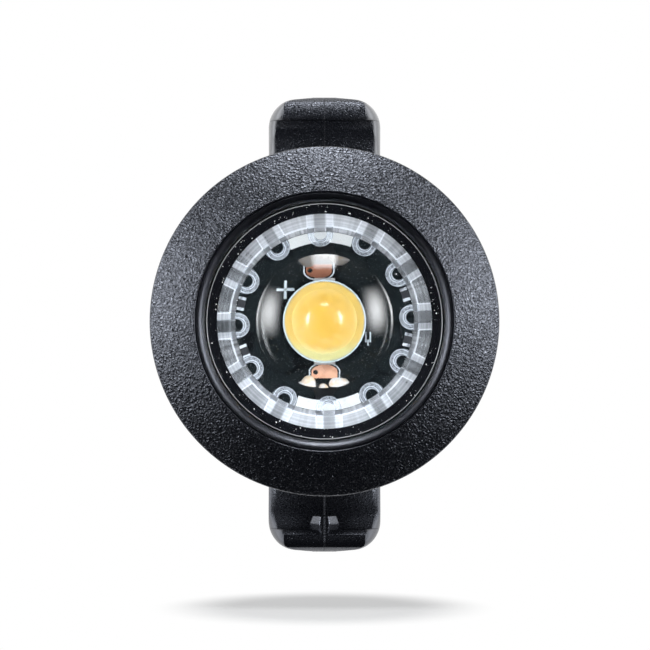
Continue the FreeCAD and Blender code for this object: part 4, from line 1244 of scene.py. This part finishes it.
def softbox(name, side, rise, distance, width, height, radiance, fade=0.45):
    """Rectangular lamp aimed at the lens, placed by its angle to the side of the light's axis
    and its rise above it; lengths are in metres. Its power is radiance x area x pi, and it
    fades towards its edges."""
    data = bpy.data.lights.new(name, "AREA")
    data.shape = "RECTANGLE"
    data.size = width
    data.size_y = height
    data.energy = radiance * width * height * math.pi
    shade = Shade(owner=data)
    place = shade.node("ShaderNodeNewGeometry", output="Parametric")
    level = 1
    for across in shade.split(place)[:2]:
        inward = 1 - abs(across * 2 - 1)
        level = inward.above(fade / 2, fade) * level
    glow = shade.node("ShaderNodeEmission", {"Color": LAMP_WHITE, "Strength": level})
    shade.done(glow, "Light")
    a = math.radians(side)
    e = math.radians(rise)
    away = np.array([math.sin(a) * math.cos(e), -math.cos(a) * math.cos(e), math.sin(e)])
    made = into_scene(name, data)
    made.location = distance * away - [0.0, LAMP_TARGET * MM, 0.0]
    made.rotation_euler = (math.pi / 2 - e, 0.0, a)
    return made


def floor():
    """Pale floor that fades to plain white away from the object, so that only the soft shadow
    under it shows. It blocks no lamp and shows in no reflection."""
    z = FLOOR_HEIGHT * MM
    half = FLOOR_HALF * MM
    mesh = bpy.data.meshes.new("floor")
    corners = [(-half, -half, z), (half, -half, z), (half, half, z), (-half, half, z)]
    mesh.from_pydata(corners, [], [(0, 1, 2, 3)])
    made = into_scene("floor", mesh)
    shade = Shade("floor_white")
    x, y, _ = shade.xyz()
    across = x / SHADOW_HALF_WIDTH
    along = (y + SHADOW_DEPTH) / SHADOW_HALF_LENGTH
    near = ((across * across + along * along) ** 0.5).below(1.0, 0.7)
    paper = shade.node("ShaderNodeBsdfDiffuse", {"Color": (0.22, 0.22, 0.22)})
    lift = shade.node("ShaderNodeEmission", {"Color": WHITE, "Strength": 0.44})
    lit = shade.node("ShaderNodeAddShader", {0: paper, 1: lift})
    white = shade.node("ShaderNodeEmission", {"Color": WHITE, "Strength": 1.0})
    made.data.materials.append(shade.done(shade.blend(near, white, lit)))
    made.visible_glossy = False
    made.visible_transmission = False
    made.visible_diffuse = False
    made.visible_shadow = False


def surroundings():
    """World: white to the camera; other rays see a bright backdrop behind the object and a
    dim room in front of it, a little lighter above than below."""
    world = bpy.data.worlds.new("studio")
    bpy.context.scene.world = world
    shade = Shade(owner=world)
    direction = shade.node("ShaderNodeTexCoord", output="Generated")
    _, y, z = shade.split(direction)
    behind = y.above(0.2, 0.4)
    above = z.above(0.6, 0.8)
    room = 0.006 + above * 0.05
    level = room + (1 - room) * behind
    path = shade.node("ShaderNodeLightPath", output="Is Camera Ray")
    strength = level + (1 - level) * path
    light = shade.node("ShaderNodeBackground", {"Color": WHITE, "Strength": strength})
    shade.done(light, "World")


def studio():
    """Two tall softboxes left and right, one overhead, narrow panels beside the object and a
    fill lamp by the camera that shows in no reflection."""
    camera()
    softbox("left_softbox", -58.0, 8.0, 0.45, 0.24, 0.42, 14.0, 1.0)
    softbox("right_softbox", 54.0, 10.0, 0.45, 0.24, 0.42, 15.5, 1.0)
    softbox("top_softbox", 0.0, 72.0, 0.45, 0.20, 0.32, 15.0, 0.5)
    softbox("left_panel", -103.0, 6.0, 0.40, 0.40, 0.50, 1.1, 0.4)
    softbox("right_panel", 103.0, 6.0, 0.40, 0.40, 0.50, 1.1, 0.4)
    fill = softbox("fill", 0.0, 1.0, 0.66, 0.34, 0.50, 21.5)
    fill.visible_glossy = False
    fill.visible_transmission = False
    floor()
    surroundings()
    bpy.context.scene.view_settings.view_transform = "Standard"


dress_cad_nodes()
front_ring()
lens_window()
lens_ribs()
lens_dust()
led_dome()
solder_blobs()
pads()
chips()
board_marks()
mount_base()
studio()
